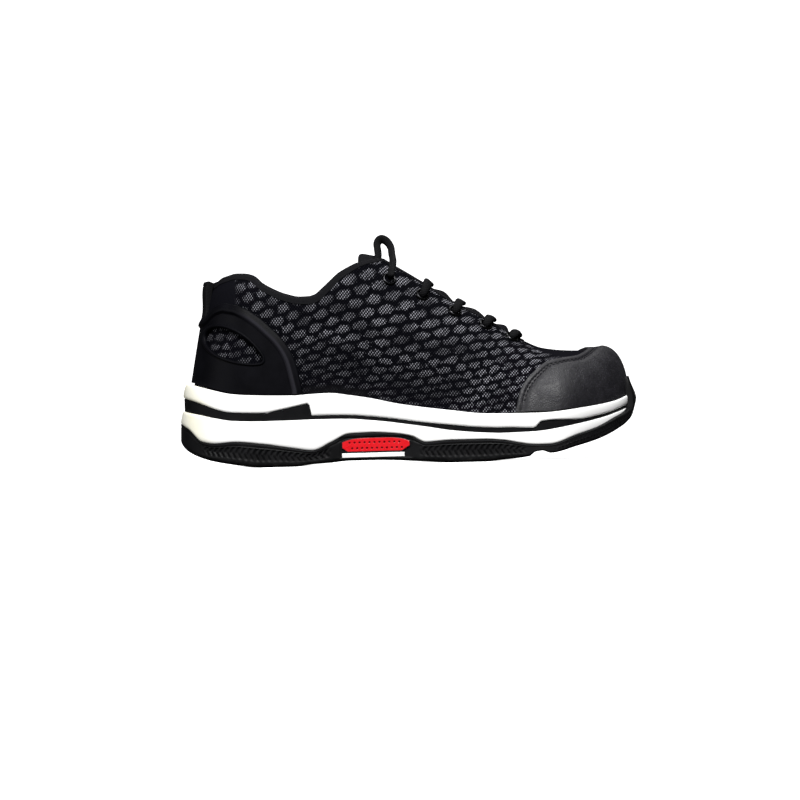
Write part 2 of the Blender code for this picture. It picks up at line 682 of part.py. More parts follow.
def throat_half_width(x):
    """Half the throat's width at x: a long taper with a round end towards the toe."""
    share = share_at(x)
    taper = 1 - 0.30 * ramp(share, 0.44, 0.76)
    round_end = np.sqrt(1 - (1 - np.clip((THROAT_END - share) / THROAT_ROUND, 0, 1)) ** 2)
    return THROAT_HALF_WIDTH * taper * round_end


def crown_y(turn):
    """Where the crown line lies across the sole, at each turn."""
    return last_point(turn, np.ones(np.shape(turn)))[..., 1]


def opening_climb(turn):
    """The climb at which each section meets the collar or the throat's edge."""
    share = raw_plan(turn)[0]
    collar_z = INSTEP_HEIGHT * smooth(COLLAR, "height", share) - 0.6 * COLLAR_ROLL
    at_collar = solve_climb(turn, lambda p: p[..., 2] - collar_z)
    middle = crown_y(turn)
    at_throat = solve_climb(turn, lambda p: throat_half_width(p[..., 0]) - np.abs(p[..., 1] - middle))
    at_throat = np.where(share < 0.36, 1.0, at_throat)
    soft = 0.030
    mix = np.clip(0.5 + 0.5 * (at_throat - at_collar) / soft, 0, 1)
    return at_throat * (1 - mix) + at_collar * mix - soft * mix * (1 - mix)


def thick_patch(outer, inner, faces, crest=None):
    """Points and faces of a closed shell between two matching sheets. The sheets' free edges are
    joined, over the crest's points where it has them."""
    count = len(outer)
    points = [outer, inner]
    edges = {}
    for face in faces:
        for a, b in zip(face, face[1:] + face[:1]):
            edges[(a, b)] = True
    free = [(a, b) for a, b in edges if (b, a) not in edges]
    crest = crest or {}
    crest_ids = {v: 2 * count + k for k, v in enumerate(crest)}
    if crest:
        points.append(np.array([crest[v] for v in crest]))
    made = [list(f) for f in faces] + [[v + count for v in f[::-1]] for f in faces]
    for a, b in free:
        if a in crest_ids and b in crest_ids:
            made.append([b, a, crest_ids[a], crest_ids[b]])
            made.append([crest_ids[b], crest_ids[a], a + count, b + count])
        else:
            made.append([b, a, a + count, b + count])
    return np.concatenate(points), made


def drop_unused(points, faces):
    """The same mesh without the points that no face uses."""
    used = sorted({v for face in faces for v in face})
    place = {v: k for k, v in enumerate(used)}
    return points[used], [[place[v] for v in face] for face in faces]


def upper_grid():
    """Columns and rows of the upper: turns, and the climb of each row at each turn."""
    top = opening_climb(TURNS)
    closed = top > 0.985
    top = np.where(closed, 1.0, top)
    rows = np.linspace(0, 1, UPPER_ROWS) ** ROW_BIAS
    return top, closed, rows[:, None] * top[None, :]


def make_upper():
    """The hollow upper: one wall from the foot in the midsole's cup to the collar and throat, closed
    over the toes, with a padded collar, and holes for the eyelets."""
    top, closed, climbs = upper_grid()
    share = raw_plan(TURNS)[0]
    at_collar = 1 - ramp(share, 0.32, 0.42)
    sheets = []
    for inner in (False, True):
        rows = []
        for climb in climbs:
            from_edge = last_point(TURNS, top)[:, 2] - last_point(TURNS, climb)[:, 2]
            pad = COLLAR_PAD * (1 - ramp(from_edge, 0.006, 0.034)) * at_collar
            lift = -(WALL + pad) if inner else 0.0
            rows.append(last_point(TURNS, climb, lift))
        foot = rows[0].copy()
        foot[:, 2] = cup_floor(foot[:, 0]) + GAP
        sheets.append(np.concatenate([foot, *rows]))
    row_count = UPPER_ROWS + 1
    last_row = row_count - 1

    def place(row, column):
        column %= COUNT
        if row == last_row and closed[column] and column > HALF:
            column = COUNT - column
        return row * COUNT + column

    faces = []
    for row in range(row_count - 1):
        for column in range(COUNT):
            face = [place(row, column), place(row, column + 1), place(row + 1, column + 1), place(row + 1, column)]
            faces.append([v for k, v in enumerate(face) if v not in face[:k]])
    for sheet in sheets:
        crown = sheet[last_row * COUNT:]
        for column in range(1, HALF):
            if closed[column]:
                middle = (crown[column] + crown[COUNT - column]) / 2
                crown[column] = middle
                crown[COUNT - column] = middle
    crest = {}
    for column in range(COUNT):
        beside_open = not closed[column] or not closed[(column + 1) % COUNT] or not closed[column - 1]
        if beside_open:
            v = place(last_row, column)
            middle = (sheets[0][v] + sheets[1][v]) / 2
            rise = last_point(TURNS[column], top[column]) - last_point(TURNS[column], top[column] - 0.02)
            rise /= np.linalg.norm(rise)
            crest[v] = middle + rise * (COLLAR_ROLL * at_collar[column] + 0.0004)
    points, made = thick_patch(sheets[0], sheets[1], faces, crest)
    points, made = drop_unused(points, made)
    upper = add_object("upper", points, made, "black_mesh")
    for n, (centre, normal) in enumerate(eyelet_places()):
        drill = cylinder(f"eyelet_drill_{n}", centre, normal, EYELET_BARREL + GAP, -2.5 * WALL, 2 * WALL)
        cut(upper, drill)
    return upper


def section_place(x, across):
    """Turns and climbs of the surface points at x and at a signed distance from the crown line,
    outer side negative."""
    x, across = np.broadcast_arrays(np.atleast_1d(np.asarray(x, float)), np.atleast_1d(np.asarray(across, float)))
    fine = np.linspace(0, 0.5, 2001)
    half = np.interp(share_at(x), raw_plan(fine)[0], fine)
    outer = across <= 0
    reach = np.maximum(np.abs(across), 0.0001)
    for _ in range(5):
        turn = np.where(outer, half, 1 - half)
        middle = crown_y(turn)
        climb = solve_climb(turn, lambda p: reach - np.abs(p[..., 1] - middle))
        miss = x - last_point(turn, climb)[:, 0]
        slope = np.maximum(SOLE_LENGTH * math.pi * np.sin(2 * math.pi * half), 0.1)
        half = np.clip(half + miss / slope, 0.001, 0.499)
    return np.where(outer, half, 1 - half), climb


def eyelet_places():
    """Centre and outward direction of each eyelet, outer side first."""
    x = (np.array(EYELET_SHARES * 2) - 0.5) * SOLE_LENGTH
    side = np.repeat([-1.0, 1.0], len(EYELET_SHARES))
    turns, climbs = section_place(x, side * (throat_half_width(x) + EYELET_SET_BACK))
    centres = last_point(turns, climbs)
    normals = last_point(turns, climbs, 1.0) - centres
    return [(Vector(c), Vector(n).normalized()) for c, n in zip(centres, normals)]


def cylinder(name, centre, axis, radius, start, end, sides=EYELET_SIDES):
    """A round cutter along an axis, from start to end measured from the centre."""
    frame = axis.to_track_quat("Z", "Y").to_matrix()
    rim = [(radius * math.cos(2 * math.pi * k / sides), radius * math.sin(2 * math.pi * k / sides)) for k in range(sides)]
    points = [centre + frame @ Vector((x, y, z)) for z in (start, end) for x, y in rim]
    faces = [[k, (k + 1) % sides, sides + (k + 1) % sides, sides + k] for k in range(sides)]
    faces += [list(range(sides))[::-1], list(range(sides, 2 * sides))]
    return add_object(name, points, faces, "black_plastic")


def make_eyelets():
    """A turned metal eyelet in each hole: a barrel through the wall under a flat flange."""
    profile = (
        (EYELET_BORE, -WALL),
        (EYELET_BARREL, -WALL),
        (EYELET_BARREL, EYELET_SEAT),
        (EYELET_FLANGE, EYELET_SEAT),
        (EYELET_BORE, EYELET_SEAT + EYELET_LIP),
    )
    size = len(profile)
    for n, (centre, normal) in enumerate(eyelet_places()):
        frame = normal.to_track_quat("Z", "Y").to_matrix()
        points, faces = [], []
        for k in range(EYELET_SIDES):
            turn = 2 * math.pi * k / EYELET_SIDES
            for radius, height in profile:
                points.append(centre + frame @ Vector((radius * math.cos(turn), radius * math.sin(turn), height)))
            after = (k + 1) % EYELET_SIDES
            for i in range(size):
                j = (i + 1) % size
                faces.append([k * size + i, after * size + i, after * size + j, k * size + j])
        side = "outer" if n < len(EYELET_SHARES) else "inner"
        add_object(f"eyelet_{side}_{n % len(EYELET_SHARES) + 1}", points, faces, "eyelet_metal")


def patch_object(name, turns, climbs, inner_lift, outer_lift, material_name):
    """An overlay: a sheet on the upper's own surface between two lifts. Turns and climbs are
    grids of rows by columns, and the lifts may be too."""
    rows, columns = climbs.shape
    turns = np.broadcast_to(turns, climbs.shape)
    outer = last_point(turns, climbs, outer_lift).reshape(-1, 3)
    inner = last_point(turns, climbs, inner_lift).reshape(-1, 3)
    faces = [
        [r * columns + c, r * columns + c + 1, (r + 1) * columns + c + 1, (r + 1) * columns + c]
        for r in range(rows - 1)
        for c in range(columns - 1)
    ]
    points, made = thick_patch(outer, inner, faces)
    return add_object(name, points, made, material_name)


def foot_distance():
    """Distance round the upper's foot from the heel end, for turns from 0 to 1."""
    turns = np.linspace(0, 1, 2001)
    points = inset(turns, upper_inset(turns))
    steps = np.linalg.norm(np.diff(points, axis=0), axis=1)
    return turns, np.concatenate([[0], np.cumsum(steps)])


def climb_to(turn, height):
    """The climb at a height above the rim on each section."""
    base = last_point(turn, np.zeros(len(turn)))[:, 2]
    return solve_climb(turn, lambda p: p[..., 2] - base - height)


def rim_climb(turn, lift):
    """The climb at which an overlay of that lift clears the midsole's rim under its own edge."""
    foot = last_point(turn, np.zeros(len(turn)))
    out = last_point(turn, np.zeros(len(turn)), lift)
    rise = sole_z("rim", out[:, 0]) - sole_z("rim", foot[:, 0])
    return climb_to(turn, np.maximum(rise, 0) + 2 * GAP)


def make_toe_cap():
    """The leather cap over the toe, from the rim to the seam, which meets itself over the crown."""
    turns, distance = foot_distance()
    toe = np.interp(0.5, turns, distance)
    reach = CAP["round"][-1] * SOLE_LENGTH
    steps = 13
    spread = np.linspace(-1, 1, 2 * steps + 1)
    from_toe = reach * spread
    column_turns = np.interp(toe + from_toe, distance, turns)
    top = smooth(CAP, "climb", np.abs(from_toe) / SOLE_LENGTH, key="round")
    base = rim_climb(column_turns, OVERLAY_SEAT + CAP_THICKNESS)
    rows = np.linspace(0, 1, 6) ** ROW_BIAS
    climbs = base + (top - base) * rows[:, None]
    outer = last_point(column_turns[None, :], climbs, OVERLAY_SEAT + CAP_THICKNESS)
    inner = last_point(column_turns[None, :], climbs, OVERLAY_SEAT)
    size = len(column_turns)
    last = len(rows) - 1
    shut = top > 0.995

    def place(row, column):
        if row == last and shut[column] and column > steps:
            column = 2 * steps - column
        return row * size + column

    for sheet in (outer, inner):
        for column in range(steps):
            if shut[column]:
                middle = (sheet[last, column] + sheet[last, 2 * steps - column]) / 2
                sheet[last, column] = middle
                sheet[last, 2 * steps - column] = middle
    faces = []
    for row in range(last):
        for column in range(size - 1):
            face = [place(row, column), place(row, column + 1), place(row + 1, column + 1), place(row + 1, column)]
            faces.append([v for k, v in enumerate(face) if v not in face[:k]])
    points, made = thick_patch(outer.reshape(-1, 3), inner.reshape(-1, 3), faces)
    points, made = drop_unused(points, made)
    return add_object("toe_cap", points, made, "black_leather")


def make_heel_counter():
    """The moulded counter round the heel, with a raised rib along its edge and a window each side."""
    turns, distance = foot_distance()
    whole = distance[-1]
    reach = COUNTER["round"][-1] * SOLE_LENGTH
    steps = 12
    spread = np.sin(np.linspace(-1, 1, 2 * steps + 1) * math.pi / 2)
    around = reach * spread
    edge = INSTEP_HEIGHT * smooth(COUNTER, "height", np.abs(around) / SOLE_LENGTH, key="round")
    inner_shrink = 1 - COUNTER_RIB_WIDTH / (0.36 * INSTEP_HEIGHT)
    levels = (0.0, 0.22, 0.54, inner_shrink - 0.015, inner_shrink + 0.015, 1.0)
    rows_turn, rows_climb, rows_lift = [], [], []
    for level in levels:
        pull = 1 - (1 - min(level, 1.0)) * COUNTER_RIB_WIDTH / reach / (1 - inner_shrink)
        place = np.mod(around * pull, whole)
        turn = np.interp(place, distance, turns)
        rows_turn.append(turn)
        low = rim_climb(turn, OVERLAY_SEAT + COUNTER_THICKNESS + COUNTER_RIB)
        rows_climb.append(np.maximum(climb_to(turn, edge * level), low))
        proud = COUNTER_RIB if level > inner_shrink else 0.0
        rows_lift.append(np.full(len(turn), OVERLAY_SEAT + COUNTER_THICKNESS + proud))
    counter = patch_object(
        "heel_counter", np.array(rows_turn), np.array(rows_climb), OVERLAY_SEAT, np.array(rows_lift),
        "black_plastic",
    )
    cut(counter, window_cutter())
    return counter


def window_cutter(sides=20):
    """An upright slice through both sides of the counter in the window's shape, an ellipse drawn
    out towards its lower front end."""
    centre_x = (WINDOW_SHARE - 0.5) * SOLE_LENGTH
    loop = []
    for k in range(sides):
        turn = 2 * math.pi * k / sides
        u = WINDOW_LENGTH / 2 * math.cos(turn)
        v = WINDOW_HEIGHT / 2 * math.sin(turn) * (1 - 0.30 * math.cos(turn))
        x = centre_x + u * math.cos(WINDOW_TILT) - v * math.sin(WINDOW_TILT)
        z = WINDOW_RISE + u * math.sin(WINDOW_TILT) + v * math.cos(WINDOW_TILT)
        loop.append((x, z))
    points = [(x, y, z) for y in (-BALL_WIDTH, BALL_WIDTH) for x, z in loop]
    faces = [[k, (k + 1) % sides, sides + (k + 1) % sides, sides + k] for k in range(sides)]
    faces += [list(range(sides)), list(range(sides, 2 * sides))[::-1]]
    return add_object("window_cutter", points, faces, "black_plastic")


def make_heel_tab():
    """The webbing tab up the back of the heel, from the counter's edge to just above the collar."""
    turns, distance = foot_distance()
    whole = distance[-1]
    around = np.linspace(-TAB_HALF_WIDTH, TAB_HALF_WIDTH, 7)
    turn = np.interp(np.mod(around, whole), distance, turns)
    low = INSTEP_HEIGHT * smooth(COUNTER, "height", np.abs(around) / SOLE_LENGTH, key="round") + 2 * GAP
    base = last_point(turn, np.zeros(len(turn)))[:, 2]
    collar = INSTEP_HEIGHT * smooth(COLLAR, "height", raw_plan(turn)[0]) - base
    rows = np.linspace(0, 1, 6)
    heights = low + (collar + TAB_RISE - low) * rows[:, None]
    climbs = np.array([climb_to(turn, h) for h in heights])
    flare = TAB_FLARE * ramp(rows, 0.1, 1.0)[:, None] * np.ones(len(around))
    return patch_object(
        "heel_tab", turn[None, :], climbs, OVERLAY_SEAT + flare, OVERLAY_SEAT + TAB_THICKNESS + flare,
        "black_webbing",
    )


def make_tongue():
    """The padded tongue, from under the vamp to above the collar, with a round top. Its middle
    comes up in the throat to close under each lace bar, and puffs up between the bars."""
    bars = np.array(EYELET_SHARES[1:]) + LACE_BOW / SOLE_LENGTH
    between = (bars[1:] + bars[:-1]) / 2
    upper_rows = np.linspace(TONGUE_TOP, bars[0], 5)
    rows = np.sort([*upper_rows, *bars[1:], *between, THROAT_END - 0.004, TONGUE_ROOT])
    shares = rows[:, None]
    across = np.linspace(-1, 1, 9)[None, :]
    round_top = np.sqrt(1 - (1 - np.clip((shares - TONGUE_TOP + 0.004) / 0.05, 0, 1)) ** 2)
    half = TONGUE_HALF_WIDTH * (0.35 + 0.65 * round_top) * (1 - 0.25 * ramp(shares, 0.5, 0.8))
    thick = TONGUE_THICKNESS * (1 - 0.6 * ramp(shares, 0.66, 0.78)) * (1 - 0.45 * np.abs(across) ** 3)
    deep = WALL + TONGUE_CLEAR + (2 * LACE_RADIUS + 2 * GAP) * (1 - ramp(shares, 0.735, 0.775)) + 0 * across
    place = (rows - 0.5) * SOLE_LENGTH
    crown = last_point(*section_place(place, 0.0))[:, 2]
    lip = last_point(*section_place(place, -throat_half_width(place)))[:, 2]
    raised = crown - lip - 0.5 * LACE_REST - TONGUE_PUFF * np.isin(rows, between)
    raised = raised + TONGUE_DIP * (1 - ramp(rows, TONGUE_TOP, 0.430))
    open_part = (rows < bars[-1])[:, None]
    sink = deep + (raised[:, None] - deep) * (1 - ramp(np.abs(across), 0.2, 0.6)) * open_part
    x = np.broadcast_to(place[:, None], half.shape[:1] + across.shape[1:])
    turns, climbs = section_place(x.ravel(), (across * half).ravel())
    outer = last_point(turns, climbs, -sink.ravel())
    inner = last_point(turns, climbs, -(sink + thick).ravel())
    rows, columns = sink.shape
    faces = [
        [r * columns + c, r * columns + c + 1, (r + 1) * columns + c + 1, (r + 1) * columns + c]
        for r in range(rows - 1)
        for c in range(columns - 1)
    ]
    points, made = thick_patch(outer, inner, faces)
    return add_object("tongue", points, made, "black_lining")


def make_insole():
    """The insole on the midsole's cup, inside the upper's wall."""
    side = upper_inset(TURNS) + WALL + GAP
    rings = [
        ring(side, lambda x: cup_floor(x) + GAP),
        ring(side, lambda x: cup_floor(x) + GAP + INSOLE_THICKNESS),
    ]
    return loft("insole", rings, "black_lining")


def smooth_route(points, count):
    """Points spaced evenly on a smooth curve through the route's own points (Catmull-Rom)."""
    p = np.asarray(points, float)
    p = np.concatenate([[2 * p[0] - p[1]], p, [2 * p[-1] - p[-2]]])
    fine = []
    for k in range(1, len(p) - 2):
        t = np.linspace(0, 1, 24, endpoint=k == len(p) - 3)[:, None]
        a, b, c, d = p[k - 1], p[k], p[k + 1], p[k + 2]
        fine.append(0.5 * (2 * b + (c - a) * t + (2 * a - 5 * b + 4 * c - d) * t**2 + (3 * b - a - 3 * c + d) * t**3))
    fine = np.concatenate(fine)
    length = np.concatenate([[0], np.cumsum(np.linalg.norm(np.diff(fine, axis=0), axis=1))])
    even = np.linspace(0, length[-1], count)
    return np.stack([np.interp(even, length, fine[:, k]) for k in range(3)], axis=1)


def cord(name, points, count):
    """A lace as a round cord along a smooth route, with closed ends."""
    curve = bpy.data.curves.new(name, "CURVE")
    curve.dimensions = "3D"
    curve.bevel_depth = LACE_RADIUS
    curve.bevel_resolution = 2
    curve.use_fill_caps = True
    spline = curve.splines.new("POLY")
    route = smooth_route(points, count)
    spline.points.add(len(route) - 1)
    for target, place in zip(spline.points, route):
        target.co = (*place, 1.0)
    curve.materials.append(material("black_lace"))
    made = bpy.data.objects.new(name, curve)
    bpy.context.scene.collection.objects.link(made)
    return made


def over_lip(clear):
    """Lift of a lace's middle where it passes over an eyelet's lip."""
    return EYELET_SEAT + EYELET_LIP + GAP + LACE_RADIUS + clear


def make_lace_bars():
    """Runs of lace across the throat, each from over one eyelet's bore to over its partner's: over
    the throat's lip, then pulled straight to the other lip, bowed a little towards the toe. The top
    pair of eyelets holds the loops."""
    held = ((0.74, 0.0006), (0.88, 0.0008), (1.0, 0.0000))
    rest = LACE_RADIUS + LACE_REST
    for n, share in enumerate(EYELET_SHARES[1:]):
        x = (share - 0.5) * SOLE_LENGTH
        edge = float(throat_half_width(x)) + EYELET_SET_BACK
        lip = float(throat_half_width(x)) / edge
        half = np.array([0.5 * lip, lip, *(a for a, _ in held)])
        across = np.concatenate([-half[::-1], [0.0], half])
        clear = np.interp(np.abs(across), [a for a, _ in held], [h for _, h in held])
        place = x + LACE_BOW * (1 - across**2)
        over = last_point(*section_place(place, edge * across), over_lip(clear))
        lips = [last_point(*section_place(place, sign * throat_half_width(place)), rest) for sign in (-1, 1)]
        way = (edge * across / throat_half_width(place) + 1) / 2
        straight = lips[0] + (lips[1] - lips[0]) * way[:, None]
        in_throat = np.abs(across) <= lip
        cord(f"lace_bar_{n + 1}", np.where(in_throat[:, None], straight, over), 11)


def make_lace_loops():
    """The lace's tied ends: from over each top eyelet up across the throat's edge, over in a
    short loop, and back down between the tongue and the edge of the throat."""
    x = (EYELET_SHARES[0] - 0.5) * SOLE_LENGTH
    edge = float(throat_half_width(x)) + EYELET_SET_BACK
    under = -(WALL + 2 * GAP + LACE_RADIUS)
    steps = LACE_EXIT + LACE_RETURN
    place = np.array([x + step for step, _, _ in steps])
    across = np.array([a for _, a, _ in steps]) * edge
    lift = np.array([under if h is None else over_lip(h) for _, _, h in steps])
    for side, sign in (("outer", -1), ("inner", 1)):
        turns, climbs = section_place(place, sign * across)
        held = last_point(turns, climbs, lift)
        start = held[len(LACE_EXIT) - 1]
        free = [start + np.array([dx, -sign * dy, dz]) for dx, dy, dz in LACE_LOOP[side]]
        route = [*held[:len(LACE_EXIT)], *free, *held[len(LACE_EXIT):]]
        cord(f"lace_loop_{side}", route, 18)


def make_all():
    """Builds every piece."""
    clear_scene()
    make_outsole()
    make_arch_inserts()
    make_midsole()
    make_insole()
    make_upper()
    make_toe_cap()
    make_heel_counter()
    make_heel_tab()
    make_tongue()
    make_eyelets()
    make_lace_bars()
    make_lace_loops()


make_all()
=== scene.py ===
"""The dressed safety sneaker: jacquard mesh upper, leather toe cap, moulded heel counter, laces through
metal eyelets, two white foams with a dark plate between them, and a ribbed black rubber outsole.

Every piece is a surface worked out with numpy on the same last and outline as the solid model. Metres,
+X to the toe, +Y to the inner side of the foot, +Z up, the floor at z = 0.
"""

import logging
import math
from collections.abc import Callable
from dataclasses import dataclass, field
from enum import Enum

import bpy
import numpy as np
from mathutils import Matrix


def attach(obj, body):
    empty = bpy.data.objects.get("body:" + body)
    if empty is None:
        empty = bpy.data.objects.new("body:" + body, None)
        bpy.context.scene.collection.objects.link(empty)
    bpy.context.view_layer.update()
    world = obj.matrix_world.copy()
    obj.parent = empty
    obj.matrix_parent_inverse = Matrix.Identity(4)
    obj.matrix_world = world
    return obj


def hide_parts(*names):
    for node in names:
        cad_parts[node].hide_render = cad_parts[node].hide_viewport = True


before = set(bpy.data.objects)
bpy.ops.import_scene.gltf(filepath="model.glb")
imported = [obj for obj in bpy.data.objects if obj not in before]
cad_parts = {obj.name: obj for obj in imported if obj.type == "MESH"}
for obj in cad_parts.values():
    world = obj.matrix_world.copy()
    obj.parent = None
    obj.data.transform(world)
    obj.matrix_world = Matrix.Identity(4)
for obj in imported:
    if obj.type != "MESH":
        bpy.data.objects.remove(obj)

Array = np.ndarray
Height = Callable[[Array], Array]
Socket = bpy.types.NodeSocket
Triple = tuple[float, float, float]
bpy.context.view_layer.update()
LOG = logging.getLogger("sneaker")
MM = 0.001


class Side(Enum):
    """The two sides of a right shoe, with the sign of their place across it."""

    OUTER = -1.0
    INNER = 1.0


def ramp(value: Array, low: float, high: float) -> Array:
    """0 below low, 1 above high, with a smooth step 3t^2 - 2t^3 between."""
    t = np.clip((np.asarray(value, float) - low) / (high - low), 0, 1)
    return t * t * (3 - 2 * t)


def unit(vectors: Array) -> Array:
    """The vectors along the last axis, each divided by its length."""
    return vectors / np.maximum(np.linalg.norm(vectors, axis=-1, keepdims=True), 1e-12)


def plateau(value: Array, a: float, b: float, c: float, d: float) -> Array:
    """0 below a, 1 from b to c and 0 above d, with smooth steps between."""
    return ramp(value, a, b) * (1 - ramp(value, c, d))


def dome(value: Array) -> Array:
    """0 at 0 and 1 from 1 on, a quarter circle that rises steeply first."""
    return np.sqrt(1 - (1 - np.clip(value, 0, 1)) ** 2)


def brow(value: Array) -> Array:
    """1 at 0 and 0 from 1 on, a quarter circle that falls steeply last."""
    return np.sqrt(1 - np.clip(value, 0, 1) ** 2)


def signed_power(value: Array, power: float) -> Array:
    """The value's size to a power, with its sign: it turns a circle into a superellipse."""
    return np.sign(value) * np.abs(value) ** power


def distances(points: Array) -> Array:
    """Distance from the start along the first axis of a row or a grid of points."""
    steps = np.linalg.norm(np.diff(points, axis=0), axis=-1)
    return np.concatenate([np.zeros((1, *steps.shape[1:])), np.cumsum(steps, axis=0)])


def points_at(points: Array, place: Array) -> Array:
    """Points on a row of points at those distances from its start."""
    length = distances(points)
    return np.stack([np.interp(place, length, points[:, k]) for k in range(3)], axis=-1)


def distance_to(line: Array, points: Array) -> Array:
    """Distance from each point of a grid to the nearest point of a line, a part of the grid at a time.

    Args:
        line: Points along the line.
        points: The grid.

    Returns:
        One distance to a point.
    """
    parts = np.array_split(points.reshape(-1, 3), 60)
    near = [np.sqrt(((part[:, None] - line[None]) ** 2).sum(-1)).min(axis=1) for part in parts]
    return np.concatenate(near).reshape(points.shape[:-1])


def vectors_of(*numbers: Array) -> Array:
    """A list of vectors from three grids of numbers."""
    return np.stack(np.broadcast_arrays(*numbers), axis=-1).reshape(-1, 3)


def joined(*grids: Array) -> Array:
    """One list of points from several grids of them."""
    return np.concatenate([grid.reshape(-1, 3) for grid in grids])


def numbered(rows: int, columns: int, first: int = 0) -> Array:
    """Vertex numbers of a grid, row by row."""
    return first + np.arange(rows * columns).reshape(rows, columns)


@dataclass(frozen=True)
class Table:
    """Columns of chosen values over one key column, read through a cubic that never overshoots."""

    key: tuple[float, ...]
    columns: dict[str, tuple[float, ...]]

    def at(self, column: str, place: Array) -> Array:
        """The column's value at each place.

        Args:
            column: Name of the column.
            place: Places along the key.

        Returns:
            Values from a Hermite cubic whose slopes are the weighted harmonic means of the rises.
        """
        x = np.asarray(self.key, float)
        y = np.asarray(self.columns[column], float)
        place = np.clip(np.asarray(place, float), x[0], x[-1])
        step = np.diff(x)
        rise = np.diff(y) / step
        slope = np.zeros(len(x))
        inside = rise[:-1] * rise[1:] > 0
        w1 = 2 * step[1:] + step[:-1]
        w2 = step[1:] + 2 * step[:-1]
        before = np.where(inside, rise[:-1], 1.0)
        after = np.where(inside, rise[1:], 1.0)
        slope[1:-1] = np.where(inside, (w1 + w2) / (w1 / before + w2 / after), 0.0)
        slope[0], slope[-1] = rise[0], rise[-1]
        k = np.clip(np.searchsorted(x, place) - 1, 0, len(step) - 1)
        s = (place - x[k]) / step[k]
        return (
            y[k] * (1 + 2 * s) * (1 - s) ** 2
            + slope[k] * step[k] * s * (1 - s) ** 2
            + y[k + 1] * s**2 * (3 - 2 * s)
            + slope[k + 1] * step[k] * s**2 * (s - 1)
        )


# Plan of the sole: shares of its length, then shares of the ball width from the axis
PLAN = Table(
    (0.00, 0.06, 0.16, 0.28, 0.40, 0.52, 0.63, 0.73, 0.82, 0.90, 1.00),
    {
        "outer": (0.37, 0.37, 0.372, 0.372, 0.385, 0.430, 0.480, 0.512, 0.520, 0.500, 0.470),
        "inner": (0.37, 0.37, 0.366, 0.345, 0.325, 0.355, 0.425, 0.475, 0.475, 0.455, 0.430),
        "axis": (0.00, 0.00, 0.00, 0.00, 0.00, 0.00, 0.005, 0.02, 0.035, 0.05, 0.06),
    },
)

# Side view of the sole: shares of its length, then heights as shares of the sole's height
SIDE = Table(
    (0.00, 0.02, 0.05, 0.08, 0.12, 0.18, 0.25, 0.29, 0.33, 0.37, 0.42, 0.47, 0.505, 0.535, 0.59, 0.66, 0.70,
     0.735, 0.757, 0.771, 0.787, 0.803, 0.86, 0.91, 0.95, 0.985, 1.00),
    {
        "ground": (0.350, 0.240, 0.150, 0.095, 0.048, 0.000, 0.000, 0.028, 0.043, 0.062, 0.062, 0.053,
                   0.038, 0.024, 0.000, 0.000, 0.020, 0.040, 0.058, 0.118, 0.130, 0.096, 0.180, 0.275,
                   0.392, 0.560, 0.780),
        "floor": (0.470, 0.360, 0.257, 0.205, 0.160, 0.118, 0.108, 0.124, 0.150, 0.172, 0.172, 0.161,
                  0.146, 0.133, 0.110, 0.110, 0.128, 0.150, 0.162, 0.170, 0.174, 0.178, 0.262, 0.360,
                  0.472, 0.640, 0.800),
        "tread": (0.640, 0.555, 0.376, 0.345, 0.360, 0.322, 0.250, 0.215, 0.322, 0.433, 0.442, 0.420,
                  0.378, 0.288, 0.308, 0.308, 0.290, 0.247, 0.222, 0.214, 0.212, 0.214, 0.328, 0.429,
                  0.547, 0.670, 0.820),
        "plate": (0.826, 0.794, 0.751, 0.704, 0.661, 0.646, 0.648, 0.652, 0.652, 0.646, 0.618, 0.577,
                  0.541, 0.511, 0.450, 0.405, 0.393, 0.395, 0.400, 0.403, 0.411, 0.424, 0.487, 0.554,
                  0.629, 0.730, 0.840),
        "rim": (1.210, 1.195, 1.145, 1.090, 1.034, 1.006, 0.994, 1.006, 1.013, 0.979, 0.923, 0.848, 0.807,
                0.777, 0.728, 0.672, 0.663, 0.661, 0.659, 0.659, 0.660, 0.664, 0.702, 0.747, 0.798,
                0.890, 0.940),
    },
)

# The last: where each section's crown lies, its height, the squareness of its arch on each side, how
# far the crown line lies aside, and the share of its lean that is a straight line
LAST = Table(
    (0.00, 0.06, 0.12, 0.20, 0.30, 0.40, 0.44, 0.48, 0.54, 0.60, 0.66, 0.72, 0.76, 0.80, 0.86, 0.92, 0.955,
     1.00),
    {
        "reach": (0.135, 0.148, 0.178, 0.225, 0.305, 0.400, 0.440, 0.480, 0.540, 0.600, 0.660, 0.720,
                  0.760, 0.797, 0.850, 0.893, 0.910, 0.922),
        "crown": (0.955, 0.960, 0.972, 0.993, 1.022, 1.013, 0.985, 0.930, 0.848, 0.760, 0.684, 0.602,
                  0.546, 0.514, 0.500, 0.497, 0.497, 0.498),
        "square": (4.0, 3.6, 3.1, 2.8, 2.8, 2.9, 2.9, 2.9, 2.7, 2.45, 2.3, 2.25, 2.3, 2.35, 2.4, 2.35,
                   2.3, 2.3),
        "square_inner": (4.0, 3.6, 3.1, 2.9, 3.1, 3.3, 3.4, 3.3, 3.0, 2.7, 2.45, 2.35, 2.35, 2.35, 2.4,
                         2.35, 2.3, 2.3),
        "aside": (0.0, 0.0, 0.0, -0.005, -0.012, -0.018, -0.020, -0.020, -0.018, -0.014, -0.010, -0.004,
                  0.0, 0.0, 0.0, 0.0, 0.0, 0.0),
        "lean": (0.48, 0.40, 0.27, 0.16, 0.12, 0.12, 0.14, 0.18, 0.22, 0.24, 0.24, 0.20, 0.15, 0.10,
                 0.05, 0.02, 0.00, 0.00),
    },
)

